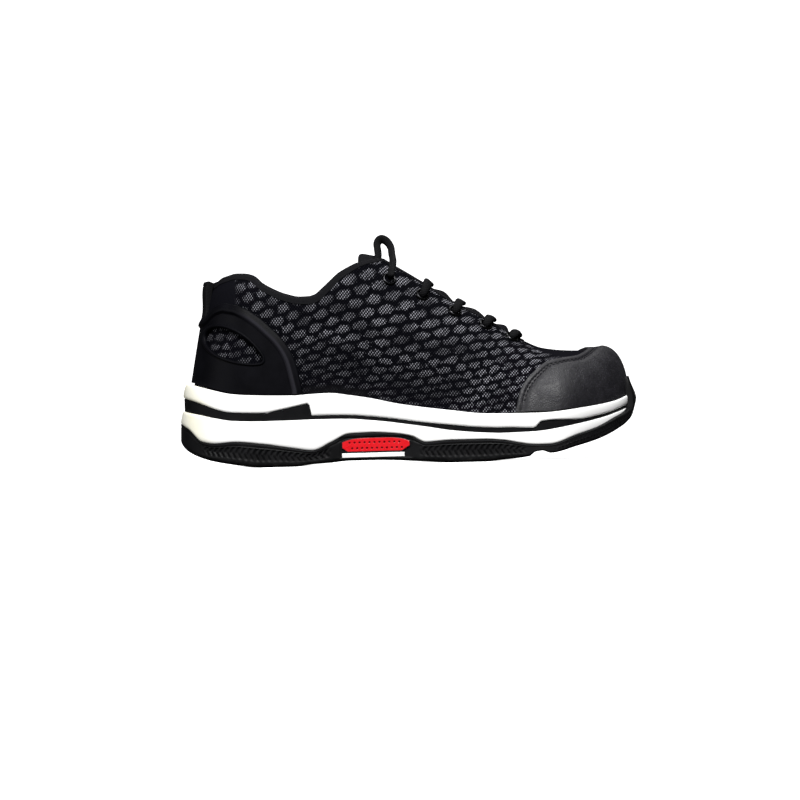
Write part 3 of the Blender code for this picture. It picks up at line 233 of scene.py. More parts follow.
# Collar line over the upper's foot, heights as shares of the instep's
COLLAR = Table(
    (0.000, 0.018, 0.041, 0.068, 0.093, 0.118, 0.148, 0.171, 0.193, 0.231, 0.269, 0.289, 0.306, 0.324,
     0.341, 0.359, 0.377, 0.396, 0.414, 0.448, 0.490),
    {
        "height": (0.853, 0.857, 0.874, 0.883, 0.891, 0.890, 0.880, 0.847, 0.822, 0.788, 0.770, 0.771,
                   0.781, 0.812, 0.847, 0.884, 0.908, 0.929, 0.940, 0.950, 0.990),
    },
)

# Counter's edge over the distance round the heel, and the toe cap's seam over the distance from the tip
COUNTER = Table(
    (0.000, 0.040, 0.067, 0.092, 0.124, 0.145, 0.167, 0.205, 0.237, 0.261, 0.284, 0.297, 0.302),
    {"height": (0.307, 0.318, 0.356, 0.386, 0.407, 0.408, 0.398, 0.359, 0.306, 0.256, 0.174, 0.070, 0.015)},
)
CAP = Table(
    (0.000, 0.135, 0.155, 0.175, 0.197, 0.239, 0.275, 0.300, 0.322, 0.336, 0.343),
    {"climb": (1.000, 1.000, 0.870, 0.740, 0.645, 0.585, 0.498, 0.364, 0.236, 0.120, 0.015)},
)


@dataclass(frozen=True)
class SoleForm:
    """Outline and side view of the sole, which every piece is worked out from."""

    length: float = 0.300
    ball_width: float = 0.112
    height: float = 0.0466
    heel_round: float = 0.150
    toe_round: float = 0.190
    gap: float = 0.0003
    cup_wall: float = 0.0040
    ledge: float = 0.0008
    foot_cup_depth: float = 0.0050
    cup_floor_thickness: float = 0.0015
    rim_thickness: float = 0.0030
    side_taper: float = 0.0016
    heel_taper: float = 0.0046
    heel_ledge: float = 0.0020
    heel_wedge: float = 0.0052
    heel_wedge_end: float = 0.0105
    heel_wedge_back: float = 0.0088
    toe_wedge: float = 0.0060
    plate_line: float = 0.0023
    plate_mid: float = 0.0033
    bumper_top: float = 0.0530
    bumper_half_width: float = 0.0190
    sole_edge: float = 0.0024

    def share_at(self, x: Array) -> Array:
        """Share of the sole's length at x, 0 at the heel end."""
        return np.asarray(x) / self.length + 0.5

    def level(self, line: str, x: Array) -> Array:
        """Height above the floor of one line of the side view, at x."""
        return self.height * SIDE.at(line, self.share_at(x))

    def raw_plan(self, turn: Array) -> tuple[Array, Array]:
        """Shares of length and width at each turn: 0 at the heel end, 0.5 at the toe, round the outer side
        first. The half widths come from the table, and each end is rounded as an ellipse.

        Args:
            turn: Turns round the outline, from 0 to 1.

        Returns:
            Shares of the length, and shares of the width.
        """
        turn = np.mod(turn, 1.0)
        share = (1 - np.cos(2 * math.pi * turn)) / 2
        heel = dome(share / self.heel_round)
        toe = dome((1 - share) / self.toe_round)
        half = np.where(turn <= 0.5, -PLAN.at("outer", share), PLAN.at("inner", share)) * heel * toe
        return share, PLAN.at("axis", share) + half

    def width_span(self) -> tuple[float, float]:
        """Middle and span of the outline across the sole, as shares of the ball width."""
        across = self.raw_plan(np.linspace(0, 1, 4001)[:-1])[1]
        return (across.max() + across.min()) / 2, across.max() - across.min()

    def plan(self, turn: Array) -> Array:
        """Points of the outline in metres, centred on its box and filling the ball width."""
        share, across = self.raw_plan(turn)
        return np.stack([(share - 0.5) * self.length, (across - MIDDLE) / SPAN * self.ball_width], axis=-1)

    def inset(self, turn: Array, distance: Array) -> Array:
        """Points of the outline moved inwards, square to it, by that distance at each turn.

        Args:
            turn: Turns round the outline, from 0 to 1.
            distance: Distances inwards, in metres.

        Returns:
            The points, x and y.
        """
        along = unit(self.plan(turn + 1e-4) - self.plan(turn - 1e-4))
        inward = np.stack([-along[..., 1], along[..., 0]], axis=-1)
        return self.plan(turn) + inward * np.broadcast_to(distance, np.shape(turn))[..., None]

    def toe_nearness(self, turn: Array, reach: float) -> Array:
        """1 at the toe tip, 0 beyond that distance from it.

        Args:
            turn: Turns round the outline, from 0 to 1.
            reach: Distance from the tip where it ends.

        Returns:
            The nearness, from 0 to 1.
        """
        points = self.plan(turn)
        away = np.hypot(points[..., 0] - self.length / 2, points[..., 1] - self.plan(0.5)[1])
        return 1 - ramp(away, 0.55 * reach, reach)

    def heel_nearness(self, turn: Array, reach: float) -> Array:
        """1 at the heel end, 0 beyond that distance from it.

        Args:
            turn: Turns round the outline, from 0 to 1.
            reach: Distance from the end where it ends.

        Returns:
            The nearness, from 0 to 1.
        """
        points = self.plan(turn)
        away = np.hypot(points[..., 0] + self.length / 2, points[..., 1] - self.plan(0.0)[1])
        return 1 - ramp(away, 0.3 * reach, reach)

    def upper_inset(self, turn: Array) -> Array:
        """How far the upper's foot stands inside the outline.

        Args:
            turn: Turns round the outline, from 0 to 1.

        Returns:
            The distances, in metres.
        """
        return (
            self.side_taper + self.rim_thickness + self.gap
            + (self.heel_taper - self.side_taper) * self.heel_nearness(turn, 0.35 * self.length)
            + self.heel_ledge * self.heel_nearness(turn, 0.20 * self.length)
            + (self.cup_wall + self.ledge - self.side_taper) * self.toe_nearness(turn, 0.30 * self.length)
        )

    def foam_inset(self, turn: Array, height_share: float) -> Array:
        """Set-back of the foam's side behind the outline, 0 low on the side and 1 at its rim.

        Args:
            turn: Turns round the outline, from 0 to 1.
            height_share: Shares of the way up the side.

        Returns:
            The distances, in metres.
        """
        taper = self.side_taper
        taper = taper + (self.heel_taper - self.side_taper) * self.heel_nearness(turn, 0.35 * self.length)
        at_toe = self.cup_wall + self.gap
        near = self.toe_nearness(turn, 0.30 * self.length)
        return taper * height_share + (at_toe - taper * height_share) * near

    def plate_top(self, x: Array) -> Array:
        """Top of the dark plate: a thin line, thicker under the ball, a wedge under the heel that ends in
        a step, and a shorter wedge under the toes.

        Args:
            x: Places along the shoe, in metres.

        Returns:
            The heights, in metres.
        """
        share = self.share_at(x)
        under_ball = ramp(share, 0.52, 0.60) - ramp(share, 0.71, 0.765)
        line = self.plate_line + (self.plate_mid - self.plate_line) * under_ball
        rise = np.clip((share - 0.192) / 0.092, 0, 1)
        heel = self.heel_wedge + (self.heel_wedge_end - self.heel_wedge) * rise
        heel = heel + (self.heel_wedge_back - self.heel_wedge) * (1 - ramp(share, 0.0, 0.11))
        toe = self.plate_line + (self.toe_wedge - self.plate_line) * (1 - ramp(share, 0.795, 0.885))
        toe = toe - 0.25 * self.plate_line * ramp(share, 0.88, 0.95)
        after_heel = np.clip((share - 0.2845) / 0.0050, 0, 1)
        before_toe = np.clip((share - 0.7711) / 0.0120, 0, 1)
        thick = heel * (1 - after_heel) + line * after_heel
        thick = thick * (1 - before_toe) + toe * before_toe
        return self.level("plate", x) + thick

    def cup_floor(self, x: Array) -> Array:
        """Floor of the cup that holds the upper's foot, clear of the plate below it."""
        deep = self.level("rim", x) - self.foot_cup_depth
        return np.maximum(deep, self.plate_top(x) + self.gap + self.cup_floor_thickness)

    def even_turns(self, half_count: int) -> Array:
        """Turns spaced evenly along the outline, the same on both sides: turn t and 1 - t are both there.

        Args:
            half_count: Steps from the heel end to the toe.

        Returns:
            The turns.
        """
        fine = np.linspace(0, 0.5, 4001)
        points = self.plan(fine)
        length = distances(points)
        outer = np.interp(np.linspace(0, length[-1], half_count + 1), length, fine)
        return np.concatenate([outer, 1 - outer[1:-1][::-1]])

    def turns_between(self, shares: Array) -> Array:
        """Turns on the outer side at those shares of the length."""
        fine = np.linspace(0, 0.5, 4001)
        return np.interp(shares, self.raw_plan(fine)[0], fine)

    def loop(self, turns: Array, distance: Array, height: Height) -> Array:
        """The outline moved in by a distance, each point at the height that its x gives."""
        points = self.inset(turns, distance)
        return np.column_stack([points, height(points[:, 0])])


MIDDLE, SPAN = SoleForm().width_span()


@dataclass(frozen=True)
class LastForm:
    """The upper's outer surface: a superellipse arch over each point of its foot."""

    sole: SoleForm = SoleForm()
    instep_height: float = 0.142
    wall: float = 0.0024
    collar_pad: float = 0.0042
    collar_roll: float = 0.0018
    throat_half: float = 0.0156
    throat_end: float = 0.757
    throat_round: float = 0.045

    def arch(self, turn: Array, climb: Array) -> Array:
        """Surface points. The height is sin(a)^(2/n) and the lean inwards is part that height and part
        1 - cos(a)^(2/n), with a the climb as an angle and n the section's squareness.

        Args:
            turn: Turns round the outline, from 0 to 1.
            climb: Climbs, 0 at the foot and 1 at the crown.

        Returns:
            The points.
        """
        sole = self.sole
        foot = sole.inset(turn, sole.upper_inset(turn))
        share = sole.raw_plan(turn)[0]
        base = sole.level("rim", foot[..., 0])
        reach = LAST.at("reach", share)
        crown_x = (reach - 0.5) * sole.length
        crown_y = sole.ball_width * (PLAN.at("axis", reach) + LAST.at("aside", share) - MIDDLE)
        crown_z = self.instep_height * LAST.at("crown", share)
        on_outer = np.mod(turn, 1.0) <= 0.5
        square = np.where(on_outer, LAST.at("square", share), LAST.at("square_inner", share))
        lean = LAST.at("lean", share)
        angle = np.clip(climb, 0, 1) * math.pi / 2
        height = np.sin(angle) ** (2 / square)
        inward = lean * height + (1 - lean) * (1 - np.cos(angle) ** (2 / square))
        return np.stack(
            [
                foot[..., 0] + (crown_x - foot[..., 0]) * inward,
                foot[..., 1] + (crown_y - foot[..., 1]) * inward,
                base + (crown_z - base) * height,
            ],
            axis=-1,
        )

    def normals(self, turn: Array, climb: Array) -> Array:
        """Outward directions of the surface, from its differences along and up.

        Args:
            turn: Turns round the outline, from 0 to 1.
            climb: Climbs, 0 at the foot and 1 at the crown.

        Returns:
            Unit vectors.
        """
        low, high = np.clip(climb - 0.004, 0.002, 1), np.clip(climb + 0.004, 0.002, 0.998)
        up = self.arch(turn, high) - self.arch(turn, np.minimum(low, high - 0.004))
        inner = np.minimum(climb, 0.97)
        along = self.arch(turn + 0.0008, inner) - self.arch(turn - 0.0008, inner)
        return unit(np.cross(along, up))

    def point(self, turn: Array, climb: Array, lift: Array = 0.0) -> Array:
        """Surface points lifted square to the surface.

        Args:
            turn: Turns round the outline, from 0 to 1.
            climb: Climbs, 0 at the foot and 1 at the crown.
            lift: Distances off the surface.

        Returns:
            The points.
        """
        turn, climb = np.broadcast_arrays(np.asarray(turn, float), np.asarray(climb, float))
        points = self.arch(turn, climb)
        if np.all(np.asarray(lift) == 0):
            return points
        return points + self.normals(turn, climb) * np.broadcast_to(lift, climb.shape)[..., None]

    def solve(self, turn: Array, over: Height) -> Array:
        """The climb at which over(points) first turns positive on each section, by halving.

        Args:
            turn: Turns round the outline, from 0 to 1.
            over: A number for each point, which turns positive on the way up.

        Returns:
            The climbs.
        """
        low, high = np.zeros(np.shape(turn)), np.ones(np.shape(turn))
        for _ in range(24):
            middle = (low + high) / 2
            beyond = over(self.arch(turn, middle)) > 0
            high = np.where(beyond, middle, high)
            low = np.where(beyond, low, middle)
        return (low + high) / 2

    def crown_y(self, turn: Array) -> Array:
        """Where the crown line lies across the sole."""
        return self.arch(turn, np.ones(np.shape(turn)))[..., 1]

    def throat_width(self, x: Array) -> Array:
        """Half the throat's width at x: a long taper with a round end towards the toe.

        Args:
            x: Places along the shoe, in metres.

        Returns:
            Half widths, in metres.
        """
        share = self.sole.share_at(x)
        taper = 1 - 0.30 * ramp(share, 0.44, 0.76)
        near = 1 - np.clip((self.throat_end - share) / self.throat_round, 0, 1)
        return self.throat_half * taper * np.sqrt(1 - near**2)

    def opening(self, turn: Array) -> Array:
        """The climb at which each section meets the collar or the throat's edge, softened where they join.

        Args:
            turn: Turns round the outline, from 0 to 1.

        Returns:
            The climbs.
        """
        share = self.sole.raw_plan(turn)[0]
        collar_z = self.instep_height * COLLAR.at("height", share) - 0.6 * self.collar_roll
        at_collar = self.solve(turn, lambda p: p[..., 2] - collar_z)
        middle = self.crown_y(turn)
        at_throat = self.solve(turn, lambda p: self.throat_width(p[..., 0]) - np.abs(p[..., 1] - middle))
        at_throat = np.where(share < 0.36, 1.0, at_throat)
        soft = 0.030
        mix = np.clip(0.5 + 0.5 * (at_throat - at_collar) / soft, 0, 1)
        joined = at_throat * (1 - mix) + at_collar * mix - soft * mix * (1 - mix)
        return np.where(share > 0.52, at_throat, joined)

    def place(self, x: Array, across: Array) -> tuple[Array, Array]:
        """Turns and climbs of the surface points at x and at a signed distance from the crown line.

        Args:
            x: Places along the shoe, in metres.
            across: Signed distances from the crown line.

        Returns:
            The turns, and the climbs.
        """
        x, across = np.broadcast_arrays(np.atleast_1d(np.asarray(x, float)), np.atleast_1d(across))
        fine = np.linspace(0, 0.5, 2001)
        half = np.interp(self.sole.share_at(x), self.sole.raw_plan(fine)[0], fine)
        outer = across <= 0
        reach = np.maximum(np.abs(across), 0.0001)
        for _ in range(5):
            turn = np.where(outer, half, 1 - half)
            middle = self.crown_y(turn)
            climb = self.solve(turn, lambda p: reach - np.abs(p[..., 1] - middle))
            miss = x - self.arch(turn, climb)[..., 0]
            slope = np.maximum(self.sole.length * math.pi * np.sin(2 * math.pi * half), 0.1)
            half = np.clip(half + miss / slope, 0.001, 0.499)
        return np.where(outer, half, 1 - half), climb

    def locate(self, x: Array, z: Array, side: Side) -> tuple[Array, Array]:
        """Turns and climbs of the surface points seen from the side at x and z.

        Args:
            x: Places along the shoe.
            z: Heights.
            side: The side that is looked at.

        Returns:
            Turns and climbs, from the nearest point of a grid and six Newton steps.
        """
        def turned(half: Array) -> Array:
            """Turns of the outer side, taken to this side."""
            return half if side is Side.OUTER else 1 - half

        half, climb = np.meshgrid(np.linspace(0.010, 0.30, 110), np.linspace(0.02, 0.95, 70))
        grid = self.arch(turned(half), climb)[..., [0, 2]].reshape(-1, 2)
        target = np.stack([x.ravel(), z.ravel()], axis=-1)
        nearest = np.array([np.argmin(((grid - t) ** 2).sum(axis=1)) for t in target])
        half, climb = half.ravel()[nearest], climb.ravel()[nearest]
        for _ in range(6):
            here = self.arch(turned(half), climb)[..., [0, 2]]
            by_half = (self.arch(turned(half + 1e-4), climb)[..., [0, 2]] - here) / 1e-4
            by_climb = (self.arch(turned(half), climb + 1e-4)[..., [0, 2]] - here) / 1e-4
            miss = target - here
            determinant = by_half[:, 0] * by_climb[:, 1] - by_half[:, 1] * by_climb[:, 0]
            half = half + (miss[:, 0] * by_climb[:, 1] - miss[:, 1] * by_climb[:, 0]) / determinant
            climb = climb + (by_half[:, 0] * miss[:, 1] - by_half[:, 1] * miss[:, 0]) / determinant
            half, climb = np.clip(half, 0.003, 0.45), np.clip(climb, 0.005, 0.98)
        return turned(half).reshape(x.shape), climb.reshape(x.shape)

    def foot_lengths(self) -> tuple[Array, Array]:
        """Turns, and the distance round the upper's foot from the heel end at each.

        Returns:
            The turns, and the distances.
        """
        turns = np.linspace(0, 1, 4001)
        points = self.sole.inset(turns, self.sole.upper_inset(turns))
        return turns, distances(points)

    def climb_to(self, turn: Array, height: Array) -> Array:
        """The climb at a height above the rim on each section."""
        base = self.arch(turn, np.zeros(np.shape(turn)))[..., 2]
        return self.solve(turn, lambda p: p[..., 2] - base - height)

    def rim_climb(self, turn: Array, lift: float) -> Array:
        """The climb at which an overlay of that lift clears the foam's rim under its own edge.

        Args:
            turn: Turns round the outline, from 0 to 1.
            lift: The overlay's lift, in metres.

        Returns:
            The climbs.
        """
        foot = self.point(turn, np.zeros(np.shape(turn)))
        out = self.point(turn, np.zeros(np.shape(turn)), lift)
        rise = self.sole.level("rim", out[..., 0]) - self.sole.level("rim", foot[..., 0])
        return self.climb_to(turn, np.maximum(rise, 0) + 2 * self.sole.gap)


@dataclass
class Columns:
    """Sections of the last from a low climb to a high one, measured along the surface."""

    last: LastForm
    turns: Array
    low: Array
    high: Array
    fine: int = 150

    def __post_init__(self) -> None:
        """Measures each section by a chain of short steps."""
        self.climbs = self.low + (self.high - self.low) * np.linspace(0, 1, self.fine)[:, None]
        points = self.last.arch(np.broadcast_to(self.turns, self.climbs.shape), self.climbs)
        self.lengths = distances(points)

    def total(self) -> Array:
        """Length of each section."""
        return self.lengths[-1]

    def climbs_at(self, distance: Array) -> Array:
        """The climb at each distance up its section, for rows of distances by columns.

        Args:
            distance: Distances up, in metres.

        Returns:
            The climbs.
        """
        distance = np.clip(distance, 0, self.total())
        k = np.stack([(self.lengths < row).sum(axis=0) for row in distance])
        k = np.clip(k, 1, self.fine - 1)
        below, above = (np.take_along_axis(self.lengths, row, 0) for row in (k - 1, k))
        from_climb, to_climb = (np.take_along_axis(self.climbs, row, 0) for row in (k - 1, k))
        t = (distance - below) / np.maximum(above - below, 1e-9)
        return from_climb + (to_climb - from_climb) * np.clip(t, 0, 1)


class Shader:
    """A material's nodes, added by named steps and joined to one Principled surface."""

    def __init__(self, name: str) -> None:
        """Starts a material with its surface node.

        Args:
            name: The material's name.
        """
        self.material = bpy.data.materials.new(name)
        self.material.use_nodes = True
        self.nodes = self.material.node_tree.nodes
        self.links = self.material.node_tree.links
        self.surface = next(n for n in self.nodes if n.type == "BSDF_PRINCIPLED")

    def feed(self, target: Socket, value: "Socket | float | tuple") -> None:
        """Links a socket to the target, or sets the target's own value.

        Args:
            target: A socket that takes the value.
            value: A socket, number or colour.
        """
        if isinstance(value, bpy.types.NodeSocket):
            self.links.new(value, target)
        else:
            target.default_value = value

    def attribute(self, name: str) -> list[Socket]:
        """The three numbers of a mesh attribute.

        Args:
            name: The attribute's name.

        Returns:
            Three sockets.
        """
        node = self.nodes.new("ShaderNodeAttribute")
        node.attribute_name = name
        return self.split(node.outputs["Vector"])

    def split(self, vector: Socket) -> list[Socket]:
        """The three numbers of a vector.

        Args:
            vector: The vector's socket.

        Returns:
            Three sockets.
        """
        node = self.nodes.new("ShaderNodeSeparateXYZ")
        self.links.new(vector, node.inputs[0])
        return [node.outputs[k] for k in range(3)]

    def join(self, x: "Socket | float", y: "Socket | float", z: "Socket | float" = 0.0) -> Socket:
        """A vector from three numbers.

        Args:
            x: First number.
            y: Second number.
            z: Third number.

        Returns:
            The vector's socket.
        """
        node = self.nodes.new("ShaderNodeCombineXYZ")
        for target, value in zip(node.inputs, (x, y, z)):
            self.feed(target, value)
        return node.outputs[0]

    def here(self, stretch: Triple = (1.0, 1.0, 1.0)) -> Socket:
        """Object coordinates in metres, each stretched.

        Args:
            stretch: A factor for each axis.

        Returns:
            The vector's socket.
        """
        coordinates = self.nodes.new("ShaderNodeTexCoord").outputs["Object"]
        node = self.nodes.new("ShaderNodeMapping")
        self.links.new(coordinates, node.inputs["Vector"])
        node.inputs["Scale"].default_value = stretch
        return node.outputs["Vector"]

    def math(self, operation: str, a: "Socket | float", b: "Socket | float" = 0.0) -> Socket:
        """One sum on numbers.

        Args:
            operation: The node's name for the sum.
            a: First input.
            b: Second input.

        Returns:
            The result's socket.
        """
        node = self.nodes.new("ShaderNodeMath")
        node.operation = operation
        self.feed(node.inputs[0], a)
        self.feed(node.inputs[1], b)
        return node.outputs[0]

    def step(self, value: Socket, low: float, high: float, start: float = 0.0, end: float = 1.0) -> Socket:
        """A smooth step of a number from low to high.

        Args:
            value: The number.
            low: Where the step begins.
            high: Where the step ends.
            start: Result below low.
            end: Result above high.

        Returns:
            The result's socket.
        """
        node = self.nodes.new("ShaderNodeMapRange")
        node.interpolation_type = "SMOOTHSTEP"
        for key, number in zip(("From Min", "From Max", "To Min", "To Max"), (low, high, start, end)):
            node.inputs[key].default_value = number
        self.links.new(value, node.inputs["Value"])
        return node.outputs["Result"]

    def noise(self, at: Socket, scale: float, detail: float = 3.0, rough: float = 0.55) -> Socket:
        """Soft noise of that many lumps to a metre.

        Args:
            at: The place that it is read at.
            scale: Lumps to a metre.
            detail: How many finer layers.
            rough: Strength of the finer layers.

        Returns:
            The result's socket.
        """
        node = self.nodes.new("ShaderNodeTexNoise")
        self.links.new(at, node.inputs["Vector"])
        node.inputs["Scale"].default_value = scale
        node.inputs["Detail"].default_value = detail
        node.inputs["Roughness"].default_value = rough
        return node.outputs["Fac"]

    def cells(self, at: Socket, scale: float, feature: str = "DISTANCE_TO_EDGE") -> Socket:
        """Distance within irregular cells, that many to a metre.

        Args:
            at: The place that it is read at.
            scale: Cells to a metre.
            feature: Which distance is given.

        Returns:
            The result's socket.
        """
        node = self.nodes.new("ShaderNodeTexVoronoi")
        node.feature = feature
        self.links.new(at, node.inputs["Vector"])
        node.inputs["Scale"].default_value = scale
        return node.outputs["Distance"]

    def blend(self, factor: "Socket | float", a: "Socket | tuple", b: "Socket | tuple") -> Socket:
        """A colour between a and b.

        Args:
            factor: 0 for a and 1 for b.
            a: First colour.
            b: Second colour.

        Returns:
            The result's socket.
        """
        node = self.nodes.new("ShaderNodeMix")
        node.data_type = "RGBA"
        self.feed(node.inputs["Factor"], factor)
        colours = [s for s in node.inputs if s.type == "RGBA"]
        for target, value in zip(colours, (a, b)):
            self.feed(target, (*value, 1.0) if isinstance(value, tuple) and len(value) == 3 else value)
        return next(s for s in node.outputs if s.type == "RGBA")

    def bump(self, height: Socket, strength: float, depth: float, below: "Socket | None" = None) -> Socket:
        """A bump of that depth in metres, on top of another one.

        Args:
            height: The height's socket.
            strength: How much of it counts.
            depth: Its depth, in metres.
            below: The bump under it, if there is one.

        Returns:
            The normal's socket.
        """
        node = self.nodes.new("ShaderNodeBump")
        node.inputs["Strength"].default_value = strength
        node.inputs["Distance"].default_value = depth
        self.links.new(height, node.inputs["Height"])
        if below is not None:
            self.links.new(below, node.inputs["Normal"])
        return node.outputs["Normal"]

    def finish(self, **inputs: "Socket | float | tuple") -> bpy.types.Material:
        """Sets or links the surface's sockets, named with _ for spaces, and returns the material.

        Args:
            **inputs: Socket or value for each input.

        Returns:
            The material.
        """
        for key, value in inputs.items():
            target = self.surface.inputs[key.replace("_", " ")]
            self.feed(target, (*value, 1.0) if isinstance(value, tuple) and len(value) == 3 else value)
        return self.material


@dataclass(frozen=True)
class JacquardMesh:
    """Black air mesh with grey yarn dots gathered in staggered lens cells."""

    name: str = "jacquard_mesh"
    dark: Triple = (0.0012, 0.0012, 0.0022)
    yarn: Triple = (0.275, 0.275, 0.305)
    strip: Triple = (0.0035, 0.0034, 0.0042)
    dot_pitch: float = 1.85
    dot_row: float = 2.5
    cell_reach: tuple[float, float] = (0.43, 0.40)

    def build(self) -> bpy.types.Material:
        """Cells come from the attribute "cell", dots from distances along and up in "weave".

        Returns:
            The material.
        """
        s = Shader(self.name)
        along, up, _ = s.attribute("weave")
        column, row, fade = s.attribute("cell")
        lining, vamp, foot = s.attribute("zone")

        def lattice(value: Socket) -> Socket:
            """A cosine wave, one to each whole number."""
            return s.math("COSINE", s.math("MULTIPLY", value, 2 * math.pi))

        u = s.math("DIVIDE", along, self.dot_pitch * MM)
        v = s.math("DIVIDE", up, self.dot_row * MM)
        dots = s.math("ADD", lattice(s.math("ADD", u, v)), lattice(s.math("SUBTRACT", u, v)))
        dot = s.step(dots, 0.0, 1.3)

        whole = s.math("FLOOR", s.math("ADD", row, 0.5))
        half_step = s.math("FRACT", s.math("MULTIPLY", whole, 0.5))
        beside = s.math("FRACT", s.math("ADD", s.math("ADD", column, half_step), 0.5))
        beside = s.math("MULTIPLY", s.math("SUBTRACT", beside, 0.5), 1 / self.cell_reach[0])
        over = s.math("MULTIPLY", s.math("SUBTRACT", row, whole), 1 / self.cell_reach[1])
        away = s.math("ADD", s.math("MULTIPLY", beside, beside), s.math("MULTIPLY", over, over))
        frayed = s.step(up, 0.030, 0.055, 4.2, 2.4)
        ragged = s.math("MULTIPLY", s.math("SUBTRACT", s.noise(s.join(along, up), 330.0, 2.0), 0.5), frayed)
        lens = s.step(s.math("SUBTRACT", s.math("SUBTRACT", 1.0, away), ragged), -0.25, 0.65)
        patchy = s.noise(s.join(along, up), 60.0, 2.0)
        lens_light = s.math("MULTIPLY", lens, s.step(patchy, 0.28, 0.70, 0.30, 1.15))
        lens_light = s.math("MULTIPLY", lens_light, fade)
        fine = s.noise(s.join(along, up), 900.0, 2.0)
        between = s.math("ADD", s.math("MULTIPLY", lens_light, 0.96), 0.012)
        light = s.math("MULTIPLY", s.math("MULTIPLY", dot, between), s.step(fine, 0.30, 0.72, 0.55, 1.25))
        light = s.math("MINIMUM", light, 1.0)
        colour = s.blend(light, self.dark, self.yarn)
        ribs = s.step(lattice(s.math("DIVIDE", along, 1.15 * MM)), -0.8, 0.8, 0.55, 1.0)
        smooth_cloth = s.blend(ribs, (0.0014, 0.0014, 0.0024), (0.0042, 0.0042, 0.0058))
        colour = s.blend(vamp, colour, smooth_cloth)
        colour = s.blend(s.math("MULTIPLY", foot, 0.8), colour, self.strip)
        knit = s.step(s.noise(s.here(), 1400.0, 2.0), 0.3, 0.7)
        colour = s.blend(lining, colour, s.blend(knit, (0.0025, 0.0025, 0.003), (0.007, 0.007, 0.008)))
        plain = s.math("SUBTRACT", 1.0, s.math("MAXIMUM", lining, vamp))
        relief = s.bump(s.math("MULTIPLY", dot, plain), 0.55, 0.35 * MM)
        relief = s.bump(knit, 0.15, 0.20 * MM, relief)
        relief = s.bump(s.math("MULTIPLY", ribs, vamp), 0.35, 0.25 * MM, relief)
        rough = s.step(fine, 0.2, 0.8, 0.72, 0.92)
        return s.finish(
            Base_Color=colour, Roughness=rough, Normal=relief, Specular_IOR_Level=0.012,
        )


@dataclass(frozen=True)
class GrainLeather:
    """Pebbled black leather, with a faint violet cast painted as a sheen on the raised pebbles."""

    name: str = "grain_leather"
    colour: Triple = (0.0024, 0.0022, 0.0036)
    # colour of the painted sheen on the raised pebbles
    pale: Triple = (0.0125, 0.0112, 0.0180)
    pebble: float = 760.0

    def build(self) -> bpy.types.Material:
        """Pebbles from irregular cells, creased by noise, with a painted sheen: a paler colour on the raised
        pebbles.

        Returns:
            The material.
        """
        s = Shader(self.name)
        place = s.here()
        drift = s.noise(place, 160.0, 2.0)
        pebbles = s.step(s.cells(place, self.pebble), 0.02, 0.42)
        fine = s.noise(place, 2600.0, 2.0)
        # painted sheen: the raised pebbles turn paler, more so where the slow noise is high
        pebble_sheen = s.math("MULTIPLY", pebbles, s.step(drift, 0.30, 0.70, 0.5, 1.0))
        colour = s.blend(pebble_sheen, self.colour, self.pale)
        relief = s.bump(pebbles, 0.55, 0.22 * MM)
        relief = s.bump(fine, 0.30, 0.08 * MM, relief)
        relief = s.bump(drift, 0.45, 0.9 * MM, relief)
        rough = s.step(drift, 0.25, 0.75, 0.50, 0.64)
        return s.finish(
            Base_Color=colour, Roughness=rough, Normal=relief, Specular_IOR_Level=0.42,
        )


@dataclass(frozen=True)
class Moulded:
    """Matt moulded plastic or rubber with a spark-eroded skin, rubbed edges and, if given, a painted
    highlight on a rib's crest.
    """

    name: str
    colour: Triple
    worn: Triple
    roughness: float = 0.45
    skin: float = 1800.0
    skin_depth: float = 0.06
    specular: float = 0.42
    wear: float = 0.0
    # colour of a painted highlight on the band 3.4 to 7.2 mm in from the edge, away from the heel's back
    crest: Triple | None = None

    def build(self) -> bpy.types.Material:
        """A fine skin bump, slow change of gloss, dust where "wear" says, and a painted highlight where
        "crest" says.

        Returns:
            The material.
        """
        s = Shader(self.name)
        place = s.here()
        skin = s.noise(place, self.skin, 3.0)
        cloud = s.noise(place, 70.0, 3.0)
        colour = s.blend(s.step(cloud, 0.3, 0.75), self.colour, self.worn)
        if self.wear > 0:
            low = s.split(s.here())[2]
            near_floor = s.step(low, 0.0, 9 * MM, 1.0, 0.0)
            scuff = s.step(s.noise(s.here((1.0, 1.0, 3.0)), 420.0, 4.0), 0.50, 0.72)
            dust = s.math("MULTIPLY", s.math("MULTIPLY", near_floor, scuff), self.wear)
            colour = s.blend(dust, colour, (0.10, 0.095, 0.085))
        # painted highlight: the crest colour on the band 3.4 to 7.2 mm in from the edge, where "zone" says it
        # is clear of the heel's back
        if self.crest is not None:
            inward, front, _ = s.attribute("zone")
            band = s.math("MULTIPLY", s.step(inward, 3.4, 4.4), s.step(inward, 6.2, 7.2, 1.0, 0.0))
            colour = s.blend(s.math("MULTIPLY", band, front), colour, self.crest)
        relief = s.bump(skin, 0.45, self.skin_depth * MM)
        relief = s.bump(cloud, 0.10, 0.5 * MM, relief)
        rough = s.step(cloud, 0.2, 0.8, self.roughness - 0.06, self.roughness + 0.08)
        return s.finish(
            Base_Color=colour, Roughness=rough, Normal=relief, Specular_IOR_Level=self.specular
        )


